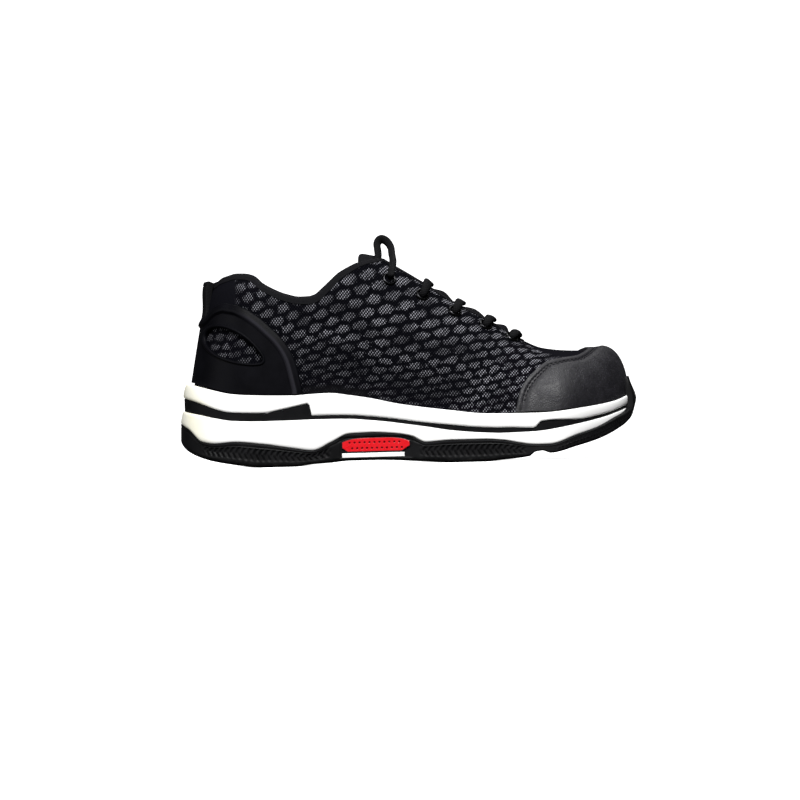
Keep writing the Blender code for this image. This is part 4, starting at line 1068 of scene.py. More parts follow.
@dataclass(frozen=True)
class Foam:
    """White moulded foam, with a painted shade tinted cream towards the back of the heel, where it curves
    round.
    """

    name: str = "white_foam_skin"
    white: Triple = (0.86, 0.86, 0.85)
    cream_shade: Triple = (0.84, 0.81, 0.60)

    def build(self) -> bpy.types.Material:
        """Painted shade, tinted cream, rises towards the heel's end, and the skin is finely pitted.

        Returns:
            The material.
        """
        s = Shader(self.name)
        x, _, z = s.split(s.here())
        # painted shade: a cream tint over the white towards the heel's end, broken up by slow noise
        at_heel = s.step(x, -0.148, -0.118, 1.0, 0.0)
        cloud = s.noise(s.here(), 55.0, 3.0)
        cream_shade = s.math("MULTIPLY", at_heel, s.step(cloud, 0.25, 0.75, 0.45, 0.95))
        colour = s.blend(cream_shade, self.white, self.cream_shade)
        faint = s.step(s.noise(s.here(), 300.0, 4.0), 0.55, 0.80, 0.0, 0.06)
        colour = s.blend(faint, colour, (0.55, 0.53, 0.48))
        pits = s.noise(s.here(), 2400.0, 2.0)
        relief = s.bump(pits, 0.30, 0.07 * MM)
        relief = s.bump(cloud, 0.10, 0.8 * MM, relief)
        return s.finish(
            Base_Color=colour, Roughness=s.step(cloud, 0.2, 0.8, 0.46, 0.60), Normal=relief,
            Specular_IOR_Level=0.35,
        )


@dataclass(frozen=True)
class Ribbed:
    """Woven band or cord: ribs across "weave" and threads along it."""

    name: str
    colour: Triple
    pale: Triple
    rib: float = 0.9
    thread: float = 0.8
    slant: float = 0.0
    depth: float = 0.25

    def build(self) -> bpy.types.Material:
        """Ribs and threads are cosine waves of "weave", slanted against each other.

        Returns:
            The material.
        """
        s = Shader(self.name)
        along, across, _ = s.attribute("weave")

        def wave(value: Socket, pitch: float) -> Socket:
            """A cosine wave of that pitch in millimetres."""
            return s.math("COSINE", s.math("MULTIPLY", value, 2 * math.pi / (pitch * MM)))

        lean = s.math("MULTIPLY", across, self.slant)
        ribs = s.step(wave(s.math("ADD", along, lean), self.rib), -0.9, 0.9)
        slide = s.math("SUBTRACT", across, s.math("MULTIPLY", along, self.slant))
        threads = s.step(wave(slide, self.thread), -0.9, 0.9)
        woven = s.math("MULTIPLY", s.math("ADD", ribs, threads), 0.5)
        fuzz = s.noise(s.here(), 1700.0, 3.0)
        colour = s.blend(s.math("MULTIPLY", woven, s.step(fuzz, 0.3, 0.7, 0.4, 1.0)), self.colour, self.pale)
        relief = s.bump(woven, 0.60, self.depth * MM)
        relief = s.bump(fuzz, 0.20, 0.10 * MM, relief)
        return s.finish(
            Base_Color=colour, Roughness=s.step(fuzz, 0.2, 0.8, 0.66, 0.86), Normal=relief,
            Specular_IOR_Level=0.10,
        )


@dataclass(frozen=True)
class KnitLining:
    """Soft brushed knit of the lining, the tongue and the insole."""

    name: str
    colour: Triple = (0.0030, 0.0030, 0.0038)
    pale: Triple = (0.0095, 0.0095, 0.011)
    stitch: float = 900.0

    def build(self) -> bpy.types.Material:
        """Small loops from stretched cells, with nap from noise.

        Returns:
            The material.
        """
        s = Shader(self.name)
        loops = s.step(s.cells(s.here((1.0, 1.0, 0.7)), self.stitch), 0.02, 0.40)
        nap = s.noise(s.here(), 400.0, 4.0)
        colour = s.blend(s.math("MULTIPLY", loops, s.step(nap, 0.3, 0.7, 0.4, 1.0)), self.colour, self.pale)
        relief = s.bump(loops, 0.45, 0.22 * MM)
        relief = s.bump(nap, 0.25, 0.35 * MM, relief)
        return s.finish(
            Base_Color=colour, Roughness=s.step(nap, 0.2, 0.8, 0.78, 0.95), Normal=relief,
            Specular_IOR_Level=0.08,
        )


@dataclass(frozen=True)
class GlossRed:
    """Clear-coated red insert with darker pin holes and a black rim."""

    name: str = "gloss_red"
    red: Triple = (0.60, 0.0080, 0.013)
    deep: Triple = (0.13, 0.001, 0.003)

    def build(self) -> bpy.types.Material:
        """The attribute "zone" marks pin holes and the rim.

        Returns:
            The material.
        """
        s = Shader(self.name)
        pins, rim, _ = s.attribute("zone")
        cloud = s.noise(s.here(), 220.0, 3.0)
        colour = s.blend(s.step(cloud, 0.3, 0.75, 0.0, 0.25), self.red, (0.70, 0.018, 0.028))
        colour = s.blend(pins, colour, self.deep)
        colour = s.blend(rim, colour, (0.010, 0.009, 0.010))
        relief = s.bump(s.noise(s.here(), 1500.0, 2.0), 0.10, 0.05 * MM)
        return s.finish(
            Base_Color=colour, Roughness=s.step(cloud, 0.2, 0.8, 0.24, 0.34), Normal=relief,
            Specular_IOR_Level=0.25, Coat_Weight=0.12, Coat_Roughness=0.15,
        )


@dataclass(frozen=True)
class EyeletMetal:
    """Dark plated metal, rubbed bright in patches."""

    name: str = "eyelet_plating"

    def build(self) -> bpy.types.Material:
        """Plating with turned lines and slight wear.

        Returns:
            The material.
        """
        s = Shader(self.name)
        wear = s.step(s.noise(s.here(), 900.0, 4.0), 0.42, 0.66)
        colour = s.blend(wear, (0.010, 0.010, 0.011), (0.040, 0.040, 0.042))
        relief = s.bump(s.noise(s.here((1.0, 6.0, 1.0)), 1800.0, 2.0), 0.12, 0.05 * MM)
        return s.finish(
            Base_Color=colour, Roughness=s.step(wear, 0.0, 1.0, 0.26, 0.16), Metallic=1.0, Normal=relief
        )


class Finishes:
    """Every finish of the shoe, built once."""

    def __init__(self) -> None:
        """Builds the materials."""
        self.mesh = JacquardMesh().build()
        self.leather = GrainLeather().build()
        # the counter's crest colour is a painted highlight along its rib
        self.counter = Moulded(
            "counter_plastic_skin", (0.0010, 0.0010, 0.0017), (0.0020, 0.0020, 0.0032), roughness=0.50,
            skin=2200.0, skin_depth=0.05, specular=0.045, crest=(0.0150, 0.0146, 0.0185),
        ).build()
        self.rubber = Moulded(
            "outsole_rubber_skin", (0.0026, 0.0026, 0.0030), (0.0052, 0.0052, 0.0058), roughness=0.52,
            skin=1500.0, skin_depth=0.07, specular=0.09, wear=0.10,
        ).build()
        self.plate = Moulded(
            "plate_foam_skin", (0.0030, 0.0030, 0.0036), (0.0052, 0.0052, 0.0058), roughness=0.55,
            skin=1500.0, skin_depth=0.06, specular=0.08,
        ).build()
        self.foam = Foam().build()
        self.binding = Ribbed(
            "collar_binding_knit", (0.0014, 0.0014, 0.0022), (0.0042, 0.0042, 0.0056), rib=0.8, thread=0.9
        ).build()
        self.webbing = Ribbed(
            "heel_tab_webbing", (0.0013, 0.0013, 0.0017), (0.0040, 0.0040, 0.0048), rib=1.0, thread=1.3
        ).build()
        self.lace = Ribbed(
            "lace_braid", (0.0012, 0.0012, 0.0016), (0.0046, 0.0046, 0.0054), 1.3, 1.3, slant=0.8, depth=0.30
        ).build()
        self.thread = Ribbed(
            "seam_thread", (0.0028, 0.0028, 0.0036), (0.014, 0.014, 0.017), 0.5, 0.5, slant=0.6, depth=0.12
        ).build()
        self.tongue = KnitLining("tongue_knit").build()
        self.insole = KnitLining("insole_knit", (0.012, 0.012, 0.014), (0.038, 0.038, 0.042), 1100.0).build()
        self.red = GlossRed().build()
        self.metal = EyeletMetal().build()


@dataclass
class ShoePart:
    """A sub-assembly: it lies on the last and wears the finishes."""

    last: LastForm
    finishes: Finishes

    @property
    def sole(self) -> SoleForm:
        """The sole's form, which the last stands on."""
        return self.last.sole


class Builder:
    """Turns grids of points into finished pieces that ride on the shoe."""

    @staticmethod
    def quads(index: Array, wrap: bool = False) -> Array:
        """Faces between the rows and columns of a grid of vertex numbers, joined round if wrap.

        Args:
            index: Vertex numbers, in rows.
            wrap: Whether the columns join round.

        Returns:
            The faces.
        """
        if wrap:
            index = np.concatenate([index, index[:, :1]], axis=1)
        corners = [index[:-1, :-1], index[:-1, 1:], index[1:, 1:], index[1:, :-1]]
        return np.stack(corners, axis=-1).reshape(-1, 4)

    @staticmethod
    def poles(index: Array, first: int) -> Array:
        """Fans that close both ends of a tube on the vertices first and first + 1.

        Args:
            index: Vertex numbers, in rows.
            first: Number of the first end's vertex.

        Returns:
            The faces.
        """
        start, end, after = index[0], index[-1], np.roll(index[-1], -1)
        near = np.stack([np.full(len(start), first), np.roll(start, -1), start, start], axis=-1)
        far = np.stack([np.full(len(end), first + 1), end, after, after], axis=-1)
        return np.concatenate([near, far])

    @staticmethod
    def strips(loop: Array) -> Array:
        """Faces straight across a closed loop of vertex numbers, from one side to the other.

        Args:
            loop: Vertex numbers round the loop.

        Returns:
            The faces.
        """
        count = len(loop)
        j = np.arange(count // 2)
        return loop[np.stack([j, j + 1, (count - j - 1) % count, (count - j) % count], axis=-1)]

    @classmethod
    def outward(cls, points: Array, faces: Array) -> Array:
        """The faces, turned over if they enclose a negative volume."""
        return faces[:, ::-1] if cls.signed_volume(points, faces) < 0 else faces

    @staticmethod
    def border(faces: Array) -> Array:
        """Directed edges that only one face has.

        Args:
            faces: Faces, as vertex numbers.

        Returns:
            Pairs of vertex numbers.
        """
        edges = np.stack([faces, np.roll(faces, -1, axis=1)], axis=-1).reshape(-1, 2)
        edges = edges[edges[:, 0] != edges[:, 1]]
        span = faces.max() + 1
        forward = edges[:, 0] * span + edges[:, 1]
        backward = edges[:, 1] * span + edges[:, 0]
        return edges[~np.isin(forward, backward)]

    @classmethod
    def shell_faces(cls, faces: Array, offset: int) -> Array:
        """Faces of a closed shell: a sheet, its copy turned over at offset, and a strip round the border.

        Args:
            faces: Faces, as vertex numbers.
            offset: Added to a vertex number to reach its copy.

        Returns:
            The faces.
        """
        free = cls.border(faces)
        strip = np.stack([free[:, 1], free[:, 0], free[:, 0] + offset, free[:, 1] + offset], axis=-1)
        return np.concatenate([faces, faces[:, ::-1] + offset, strip])

    @staticmethod
    def piece(
        name: str,
        points: Array,
        faces: Array,
        finish: bpy.types.Material,
        slot: str,
        nodes: tuple[str, ...] = (),
        attributes: "dict[str, Array] | None" = None,
        sharp: float = 50.0,
    ) -> bpy.types.Object:
        """A finished mesh that rides on the shoe.

        Args:
            name: Name of the piece.
            points: Vertices.
            faces: Four vertex numbers a face; a repeated number makes a triangle.
            finish: Its material.
            slot: The record's material slot; not used.
            nodes: The solids that it stands for.
            attributes: Vectors at each vertex, by name.
            sharp: Edges sharper than this angle stay sharp.

        Returns:
            The object.
        """
        faces = np.asarray(faces)
        same = faces == np.roll(faces, -1, axis=1)
        keep = same.sum(axis=1) < 2
        rows = [row[~dup].tolist() for row, dup in zip(faces[keep], same[keep])]
        used = np.unique(faces[keep])
        place = np.full(len(points), -1)
        place[used] = np.arange(len(used))
        rows = [[int(place[v]) for v in row] for row in rows]
        rows = [row for row in rows if len(set(row)) == len(row)]
        mesh = bpy.data.meshes.new(name)
        mesh.from_pydata(points[used].tolist(), [], rows)
        mesh.validate()
        for key, values in (attributes or {}).items():
            layer = mesh.attributes.new(key, "FLOAT_VECTOR", "POINT")
            layer.data.foreach_set("vector", np.ascontiguousarray(values[used], dtype=np.float32).ravel())
        mesh.materials.append(finish)
        mesh.shade_smooth()
        mesh.set_sharp_from_angle(angle=math.radians(sharp))
        made = bpy.data.objects.new(name, mesh)
        bpy.context.scene.collection.objects.link(made)
        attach(made, "root")
        if nodes:
            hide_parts(*nodes)
        LOG.info("%s: %d vertices, %d faces", name, len(used), len(rows))
        return made

    @staticmethod
    def route(points: Array, count: int) -> Array:
        """Points spaced evenly on a smooth curve through the route's own points (Catmull-Rom).

        Args:
            points: Points that it passes through.
            count: How many points to give.

        Returns:
            The points.
        """
        p = np.asarray(points, float)
        p = np.concatenate([[2 * p[0] - p[1]], p, [2 * p[-1] - p[-2]]])
        t = np.linspace(0, 1, 24, endpoint=False)[None, :, None]
        a, b, c, d = (p[k:len(p) - 3 + k, None, :] for k in range(4))
        square, cube = 2 * a - 5 * b + 4 * c - d, 3 * b - a - 3 * c + d
        fine = 0.5 * (2 * b + (c - a) * t + square * t**2 + cube * t**3)
        fine = np.concatenate([fine.reshape(-1, 3), p[-2:-1]])
        return points_at(fine, np.linspace(0, distances(fine)[-1], count))

    @classmethod
    def band_tube(
        cls, path: Array, wide: Array, half_width: Array, half_thick: Array, sides: int = 20
    ) -> tuple[Array, Array, Array]:
        """A flat tube along a path, with rounded ends.

        Args:
            path: Points of the middle line.
            wide: Direction of the band's width at each point.
            half_width: Half the width at each point.
            half_thick: Half the thickness at each point.
            sides: Points round the section, a superellipse.

        Returns:
            Vertices, faces, and "weave" vectors: distance along and round.
        """
        tangent = unit(np.gradient(path, axis=0))
        wide = unit(wide - (wide * tangent).sum(axis=-1, keepdims=True) * tangent)
        thick = np.cross(tangent, wide)
        along = distances(path)
        from_end = np.minimum(along, along[-1] - along)
        cap = np.sqrt(np.clip(1 - (1 - np.clip(from_end / (1.2 * half_thick), 0.02, 1)) ** 2, 0, 1))
        turn = np.linspace(0, 2 * math.pi, sides, endpoint=False)
        c, s = np.cos(turn), np.sin(turn)
        c, s = signed_power(c, 0.8), signed_power(s, 0.9)
        points = (
            path[:, None, :]
            + wide[:, None, :] * (half_width * cap)[:, None, None] * c[None, :, None]
            + thick[:, None, :] * (half_thick * cap)[:, None, None] * s[None, :, None]
        )
        index = numbered(len(path), sides)
        faces = np.concatenate([cls.quads(index, wrap=True), cls.poles(index, index.size)])
        points = joined(points, path[:1], path[-1:])
        around = np.abs(np.mod(turn / (2 * math.pi) + 0.5, 1) - 0.5) * 4 * half_width.max()
        weave = np.concatenate([vectors_of(along[:, None], around, 0.0), np.zeros((2, 3))])
        return points, cls.outward(points, faces), weave

    @staticmethod
    def signed_volume(points: Array, faces: Array) -> float:
        """Six times the volume that the faces enclose, negative when they face inwards."""
        a, b, c, d = (points[faces[:, k]] for k in range(4))
        return float((a * np.cross(b, c)).sum() + (a * np.cross(c, d)).sum())


@dataclass
class Crease:
    """A soft trough or ridge on the upper: its middle, half length, half width, slant and lift."""

    x: float
    z: float
    half_length: float
    half_width: float
    slant: float
    lift: float

    def at(self, x: Array, z: Array) -> Array:
        """Lift at each place: a long bell along the crease and a short one across it.

        Args:
            x: Places along the shoe, in metres.
            z: Heights, in metres.

        Returns:
            The lifts, in metres.
        """
        c, s = math.cos(self.slant), math.sin(self.slant)
        along = (x - self.x) * c + (z - self.z) * s
        across = -(x - self.x) * s + (z - self.z) * c
        return self.lift * np.exp(-((along / self.half_length) ** 2) - (across / self.half_width) ** 2)


@dataclass
class Upper(ShoePart):
    """The hollow mesh upper: outer sheet, rolled edge and lining in one body, with a knit binding round
    the collar and the throat."""

    outer_rows: int = 104
    inner_rows: int = 46
    roll_rows: int = 9
    cell_pitch: float = 11.5
    cell_row: float = 4.3
    cell_growth: float = 0.0060
    cell_fan: float = 19.0
    cell_slant: float = 0.22
    cell_reach: tuple[float, float] = (0.43, 0.40)
    cell_puff: float = 0.00030
    binding_rise: float = 0.00055
    collar_bulge: float = 0.0009
    creases: tuple[Crease, ...] = (
        Crease(0.052, 0.062, 0.016, 0.0030, math.radians(68), -0.0007),
        Crease(0.043, 0.066, 0.015, 0.0034, math.radians(64), 0.0006),
        Crease(0.033, 0.063, 0.017, 0.0030, math.radians(70), -0.0006),
        Crease(-0.052, 0.090, 0.022, 0.0045, math.radians(-24), -0.0008),
        Crease(-0.040, 0.078, 0.024, 0.0050, math.radians(-18), 0.0006),
        Crease(-0.010, 0.058, 0.030, 0.0060, math.radians(-10), -0.0006),
        Crease(0.010, 0.092, 0.018, 0.0045, math.radians(-30), -0.0005),
    )

    def __post_init__(self) -> None:
        """Places the columns: even along the foot, closer round the throat's end."""
        sole, end, round_end = self.sole, self.last.throat_end, self.last.throat_round
        fine = np.linspace(0, 0.5, 4001)
        reach = LAST.at("reach", sole.raw_plan(fine)[0])
        start_turn = np.interp(end - round_end, reach, fine)
        angles = np.linspace(math.pi / 2, 0, 26)
        tip_turns = np.interp(end - round_end * (1 - np.cos(angles)), reach, fine)
        length = distances(sole.plan(fine))
        at = np.interp([start_turn, tip_turns[-1]], fine, length)
        behind = np.interp(np.linspace(0, at[0], 150)[:-1], length, fine)
        ahead = np.interp(np.linspace(at[1], length[-1], 64)[1:], length, fine)
        outer = np.concatenate([behind, tip_turns, ahead])
        self.tip = len(behind) + len(tip_turns) - 1
        self.turns = np.concatenate([outer, 1 - outer[1:-1][::-1]])
        self.count = len(self.turns)
        column = np.arange(self.count)
        self.mirror = (self.count - column) % self.count
        self.closed = (column >= self.tip) & (column <= self.count - self.tip)
        self.top = np.where(self.closed, 1.0, self.last.opening(self.turns))
        self.at_collar = 1 - ramp(sole.raw_plan(self.turns)[0], 0.32, 0.42)
        self.columns = Columns(self.last, self.turns, np.zeros(self.count), self.top)
        turns, distance = self.last.foot_lengths()
        along = np.interp(self.turns, turns, distance)
        self.along = np.minimum(along, distance[-1] - along)

    def crease_lift(self, points: Array) -> Array:
        """Sum of the creases' lifts on both sides of the shoe."""
        return sum(c.at(points[..., 0], points[..., 2]) for c in self.creases)

    def cell_place(self, points: Array, up: Array) -> tuple[Array, Array]:
        """The jacquard's column and row numbers: columns fan out above the arch and narrow to the toe, and
        rows climb towards the toe and grow with height.

        Args:
            points: The points.
            up: Distances up the sections, in metres.

        Returns:
            Column numbers, and row numbers.
        """
        rise = up / MM
        x = points[..., 0] / MM
        fan = -self.cell_fan * (rise / 75) * np.tanh((x - 28) / 60)
        column = (self.along / MM + fan) / self.cell_pitch * (1 + 0.10 * ramp(x, 20.0, 90.0))
        row = rise / (self.cell_row * (1 + self.cell_growth * rise)) - self.cell_slant * x / self.cell_row
        return column, row

    def lens(self, column: Array, row: Array) -> Array:
        """1 in the middle of a jacquard cell and 0 at its border: an ellipse in a brick-laid lattice.

        Args:
            column: Column numbers.
            row: Row numbers.

        Returns:
            Shares, from 0 to 1.
        """
        whole = np.floor(row + 0.5)
        beside = np.mod(column + np.mod(whole, 2) / 2 + 0.5, 1) - 0.5
        away = (beside / self.cell_reach[0]) ** 2 + ((row - whole) / self.cell_reach[1]) ** 2
        return ramp(1 - away, 0.0, 0.8)

    def pad(self, below_edge: Array) -> Array:
        """Thickness of the collar's padding at a distance below its edge."""
        return self.last.collar_pad * (1 - ramp(below_edge, 0.006, 0.034)) * self.at_collar

    def outer_lift(self, climbs: Array, up: Array) -> Array:
        """Lift of the outer sheet: padding, creases and the cells' puff.

        Args:
            climbs: Climbs, 0 at the foot and 1 at the crown.
            up: Distances up the sections, in metres.

        Returns:
            The lifts, in metres.
        """
        points = self.last.arch(np.broadcast_to(self.turns, climbs.shape), climbs)
        below = self.columns.total() - up
        bulge = self.collar_bulge * plateau(below, 0.002, 0.010, 0.012, 0.030) * self.at_collar
        a, b = self.cell_place(points, up)
        puff = self.cell_puff * self.lens(a, b) * (1 - self.vamp_zone(points)) * ramp(below, 0.003, 0.008)
        calm = ramp(up, 0.001, 0.006) * ramp(below, 0.003, 0.010)
        return bulge + puff + self.crease_lift(points) * calm

    def vamp_zone(self, points: Array) -> Array:
        """1 on the smooth cloth in front of the throat.

        Args:
            points: The points.

        Returns:
            Shares, from 0 to 1.
        """
        share = self.sole.share_at(points[..., 0])
        middle = self.last.crown_y(self.turns)
        away = np.abs(points[..., 1] - middle)
        reach = 0.012 + 0.016 * ramp(share, 0.72, 0.84)
        vamp = ramp(share, 0.715, 0.735) * (1 - ramp(away - reach, -0.001, 0.001))
        heel = 1 - ramp(points[..., 0], -0.1115, -0.1095)
        return np.maximum(vamp, heel * ramp(points[..., 2], 0.095, 0.100))

    def edge_loop(self) -> tuple[Array, Array]:
        """The opening's columns, and at each the direction into the opening.

        Returns:
            Column numbers, and unit vectors.
        """
        loop = np.concatenate([np.arange(self.tip + 1), np.arange(self.count - self.tip + 1, self.count)])
        turns, top = self.turns[loop], self.top[loop]
        points = self.last.arch(turns, top)
        normal = self.last.normals(turns, np.minimum(top, 0.985))
        tangent = unit(np.roll(points, -1, axis=0) - np.roll(points, 1, axis=0))
        into = unit(np.cross(normal, tangent))
        below = self.last.arch(turns, top - 0.02)
        flip = np.sign(((points - below) * into).sum(axis=-1, keepdims=True))
        flip[self.tip] = flip[self.tip - 1]
        return loop, into * flip

    @staticmethod
    def over_edge(edges: tuple[Array, Array], into: Array, crest: Array, grow: float, rows: int) -> Array:
        """Rows over the opening's edge, half an ellipse from the outer sheet to the inner one.

        Args:
            edges: Top rows of the outer sheet and the inner one.
            into: Direction into the opening at each column.
            crest: Height of the ellipse at each column.
            grow: How far the rows stand off that ellipse.
            rows: How many rows.

        Returns:
            The rows of points.
        """
        middle, half = (edges[0] + edges[1]) / 2, (edges[0] - edges[1]) / 2
        angle = np.linspace(0, math.pi, rows + 2)[1:-1, None, None]
        return middle + (half + unit(half) * grow) * np.cos(angle) + into * (crest + grow) * np.sin(angle)

    def build(self) -> None:
        """Makes the upper and its binding."""
        sole, count, total = self.sole, self.count, self.columns.total()
        up = total * np.linspace(0, 1, self.outer_rows)[:, None]
        climbs = self.columns.climbs_at(up)
        outer = self.last.point(self.turns, climbs, self.outer_lift(climbs, up))
        foot = outer[0].copy()
        foot[:, 2] = sole.cup_floor(foot[:, 0]) + sole.gap
        outer = np.concatenate([foot[None], outer])
        up = np.concatenate([up[:1], up])

        inner_up = total * np.linspace(0.03, 1, self.inner_rows)[:, None]
        inner_lift = -(self.last.wall + self.pad(total - inner_up))
        inner = self.last.point(self.turns, self.columns.climbs_at(inner_up), inner_lift)
        inner_foot = self.last.point(self.turns, np.zeros(count), -self.last.wall)
        inner_foot[:, 2] = foot[:, 2]
        inner = np.concatenate([inner_foot[None], inner])

        index = numbered(len(outer), count)
        inner_index = numbered(len(inner), count, index.size)
        crown = self.closed & (np.arange(count) > count // 2)
        for sheet, rows in ((outer, index), (inner, inner_index)):
            mirrored = sheet[-1, self.mirror]
            sheet[-1] = np.where(self.closed[:, None], (sheet[-1] + mirrored) / 2, sheet[-1])
            rows[-1] = np.where(crown, rows[-1, self.mirror], rows[-1])

        loop, into = self.edge_loop()
        edges = outer[-1, loop], inner[-1, loop]
        crest = (self.last.collar_roll * self.at_collar[loop] + 0.0007)[:, None]
        roll_index = numbered(self.roll_rows, len(loop), index.size + inner_index.size)
        roll_index = np.concatenate([index[-1:, loop], roll_index, inner_index[-1:, loop]])
        bottom = np.stack([inner_index[0], index[0]])
        faces = [Builder.quads(rows, wrap=True) for rows in (index, inner_index, roll_index, bottom)]
        faces[1] = faces[1][:, ::-1]
        points = joined(outer, inner, self.over_edge(edges, into, crest, 0.0, self.roll_rows))

        share = sole.share_at(outer[..., 0])
        fade = np.maximum(0.34 + 0.66 * ramp(up, 0.004, 0.050), 0.9 * ramp(share, 0.52, 0.66))
        fade = fade * (0.72 + 0.28 * ramp(share, 0.22, 0.40))
        strip = (1 - ramp(up, 0.0042, 0.0060)) * plateau(share, 0.265, 0.28, 0.40, 0.43)
        hidden = np.zeros((len(points) - share.size, 3))
        given = {
            "weave": (vectors_of(self.along, up, 0.0), hidden),
            "cell": (vectors_of(*self.cell_place(outer, up), fade), hidden),
            "zone": (vectors_of(0.0, self.vamp_zone(outer), strip), hidden + [1.0, 0.0, 0.0]),
        }
        Builder.piece(
            "upper_shell", points, np.concatenate(faces), self.finishes.mesh, "upper_mesh", ("upper",),
            {key: np.concatenate(both) for key, both in given.items()},
        )
        self.binding(loop, edges, into, crest)

    def band_width(self, loop: Array) -> Array:
        """Width of the binding on the outside: wider at the collar's front, narrow along the throat."""
        share = self.sole.raw_plan(self.turns[loop])[0]
        return 0.0030 + 0.0010 * ramp(share, 0.26, 0.33) - 0.0018 * ramp(share, 0.37, 0.44)

    def binding(self, loop: Array, edges: tuple[Array, Array], into: Array, crest: Array) -> None:
        """The knit band round the opening: down the outside, over the edge and down the inside.

        Args:
            loop: The opening's columns.
            edges: Top rows of the outer sheet and the inner one.
            into: Direction into the opening at each column.
            crest: Height of the upper's rolled edge at each column.
        """
        turns, total, at_collar = self.turns[loop], self.columns.total()[loop], self.at_collar[loop]
        columns = Columns(self.last, turns, np.zeros(len(loop)), np.minimum(self.top[loop], 0.9995))
        share = np.linspace(1, 0, 12)[:, None]
        below = self.band_width(loop) * share
        rise = self.binding_rise * np.sqrt(1 - np.clip((share - 0.82) / 0.18, 0, 1) ** 2 * 0.999)
        rise = np.where(share >= 0.999, -0.0002, rise)
        bulge = self.collar_bulge * ramp(below, 0.002, 0.010) * at_collar
        outside = self.last.point(turns, columns.climbs_at(total - below), rise + bulge)
        over = self.over_edge(edges, into, crest, self.binding_rise, 11)
        depth = 0.0080 * np.linspace(0, 1, 8)[:, None] * np.ones(len(loop))
        pad = self.last.collar_pad * (1 - ramp(depth, 0.006, 0.034)) * at_collar
        fall = self.binding_rise * (1 - ramp(depth, 0.0060, 0.0080) * 1.5)
        inside = self.last.point(turns, columns.climbs_at(total - depth), -(self.last.wall + pad) - fall)
        for sheet in (outside, inside):
            sheet[:, self.tip, 1] = (sheet[:, self.tip - 1, 1] + sheet[:, self.tip + 1, 1]) / 2
        grid = np.concatenate([outside, over, inside])
        along = distances(edges[0])
        weave = vectors_of(np.minimum(along, along[-1] - along), distances(grid), 0.0)
        faces = Builder.quads(numbered(*grid.shape[:2]), wrap=True)
        Builder.piece(
            "opening_binding", joined(grid), faces, self.finishes.binding, "upper_mesh", (), {"weave": weave}
        )


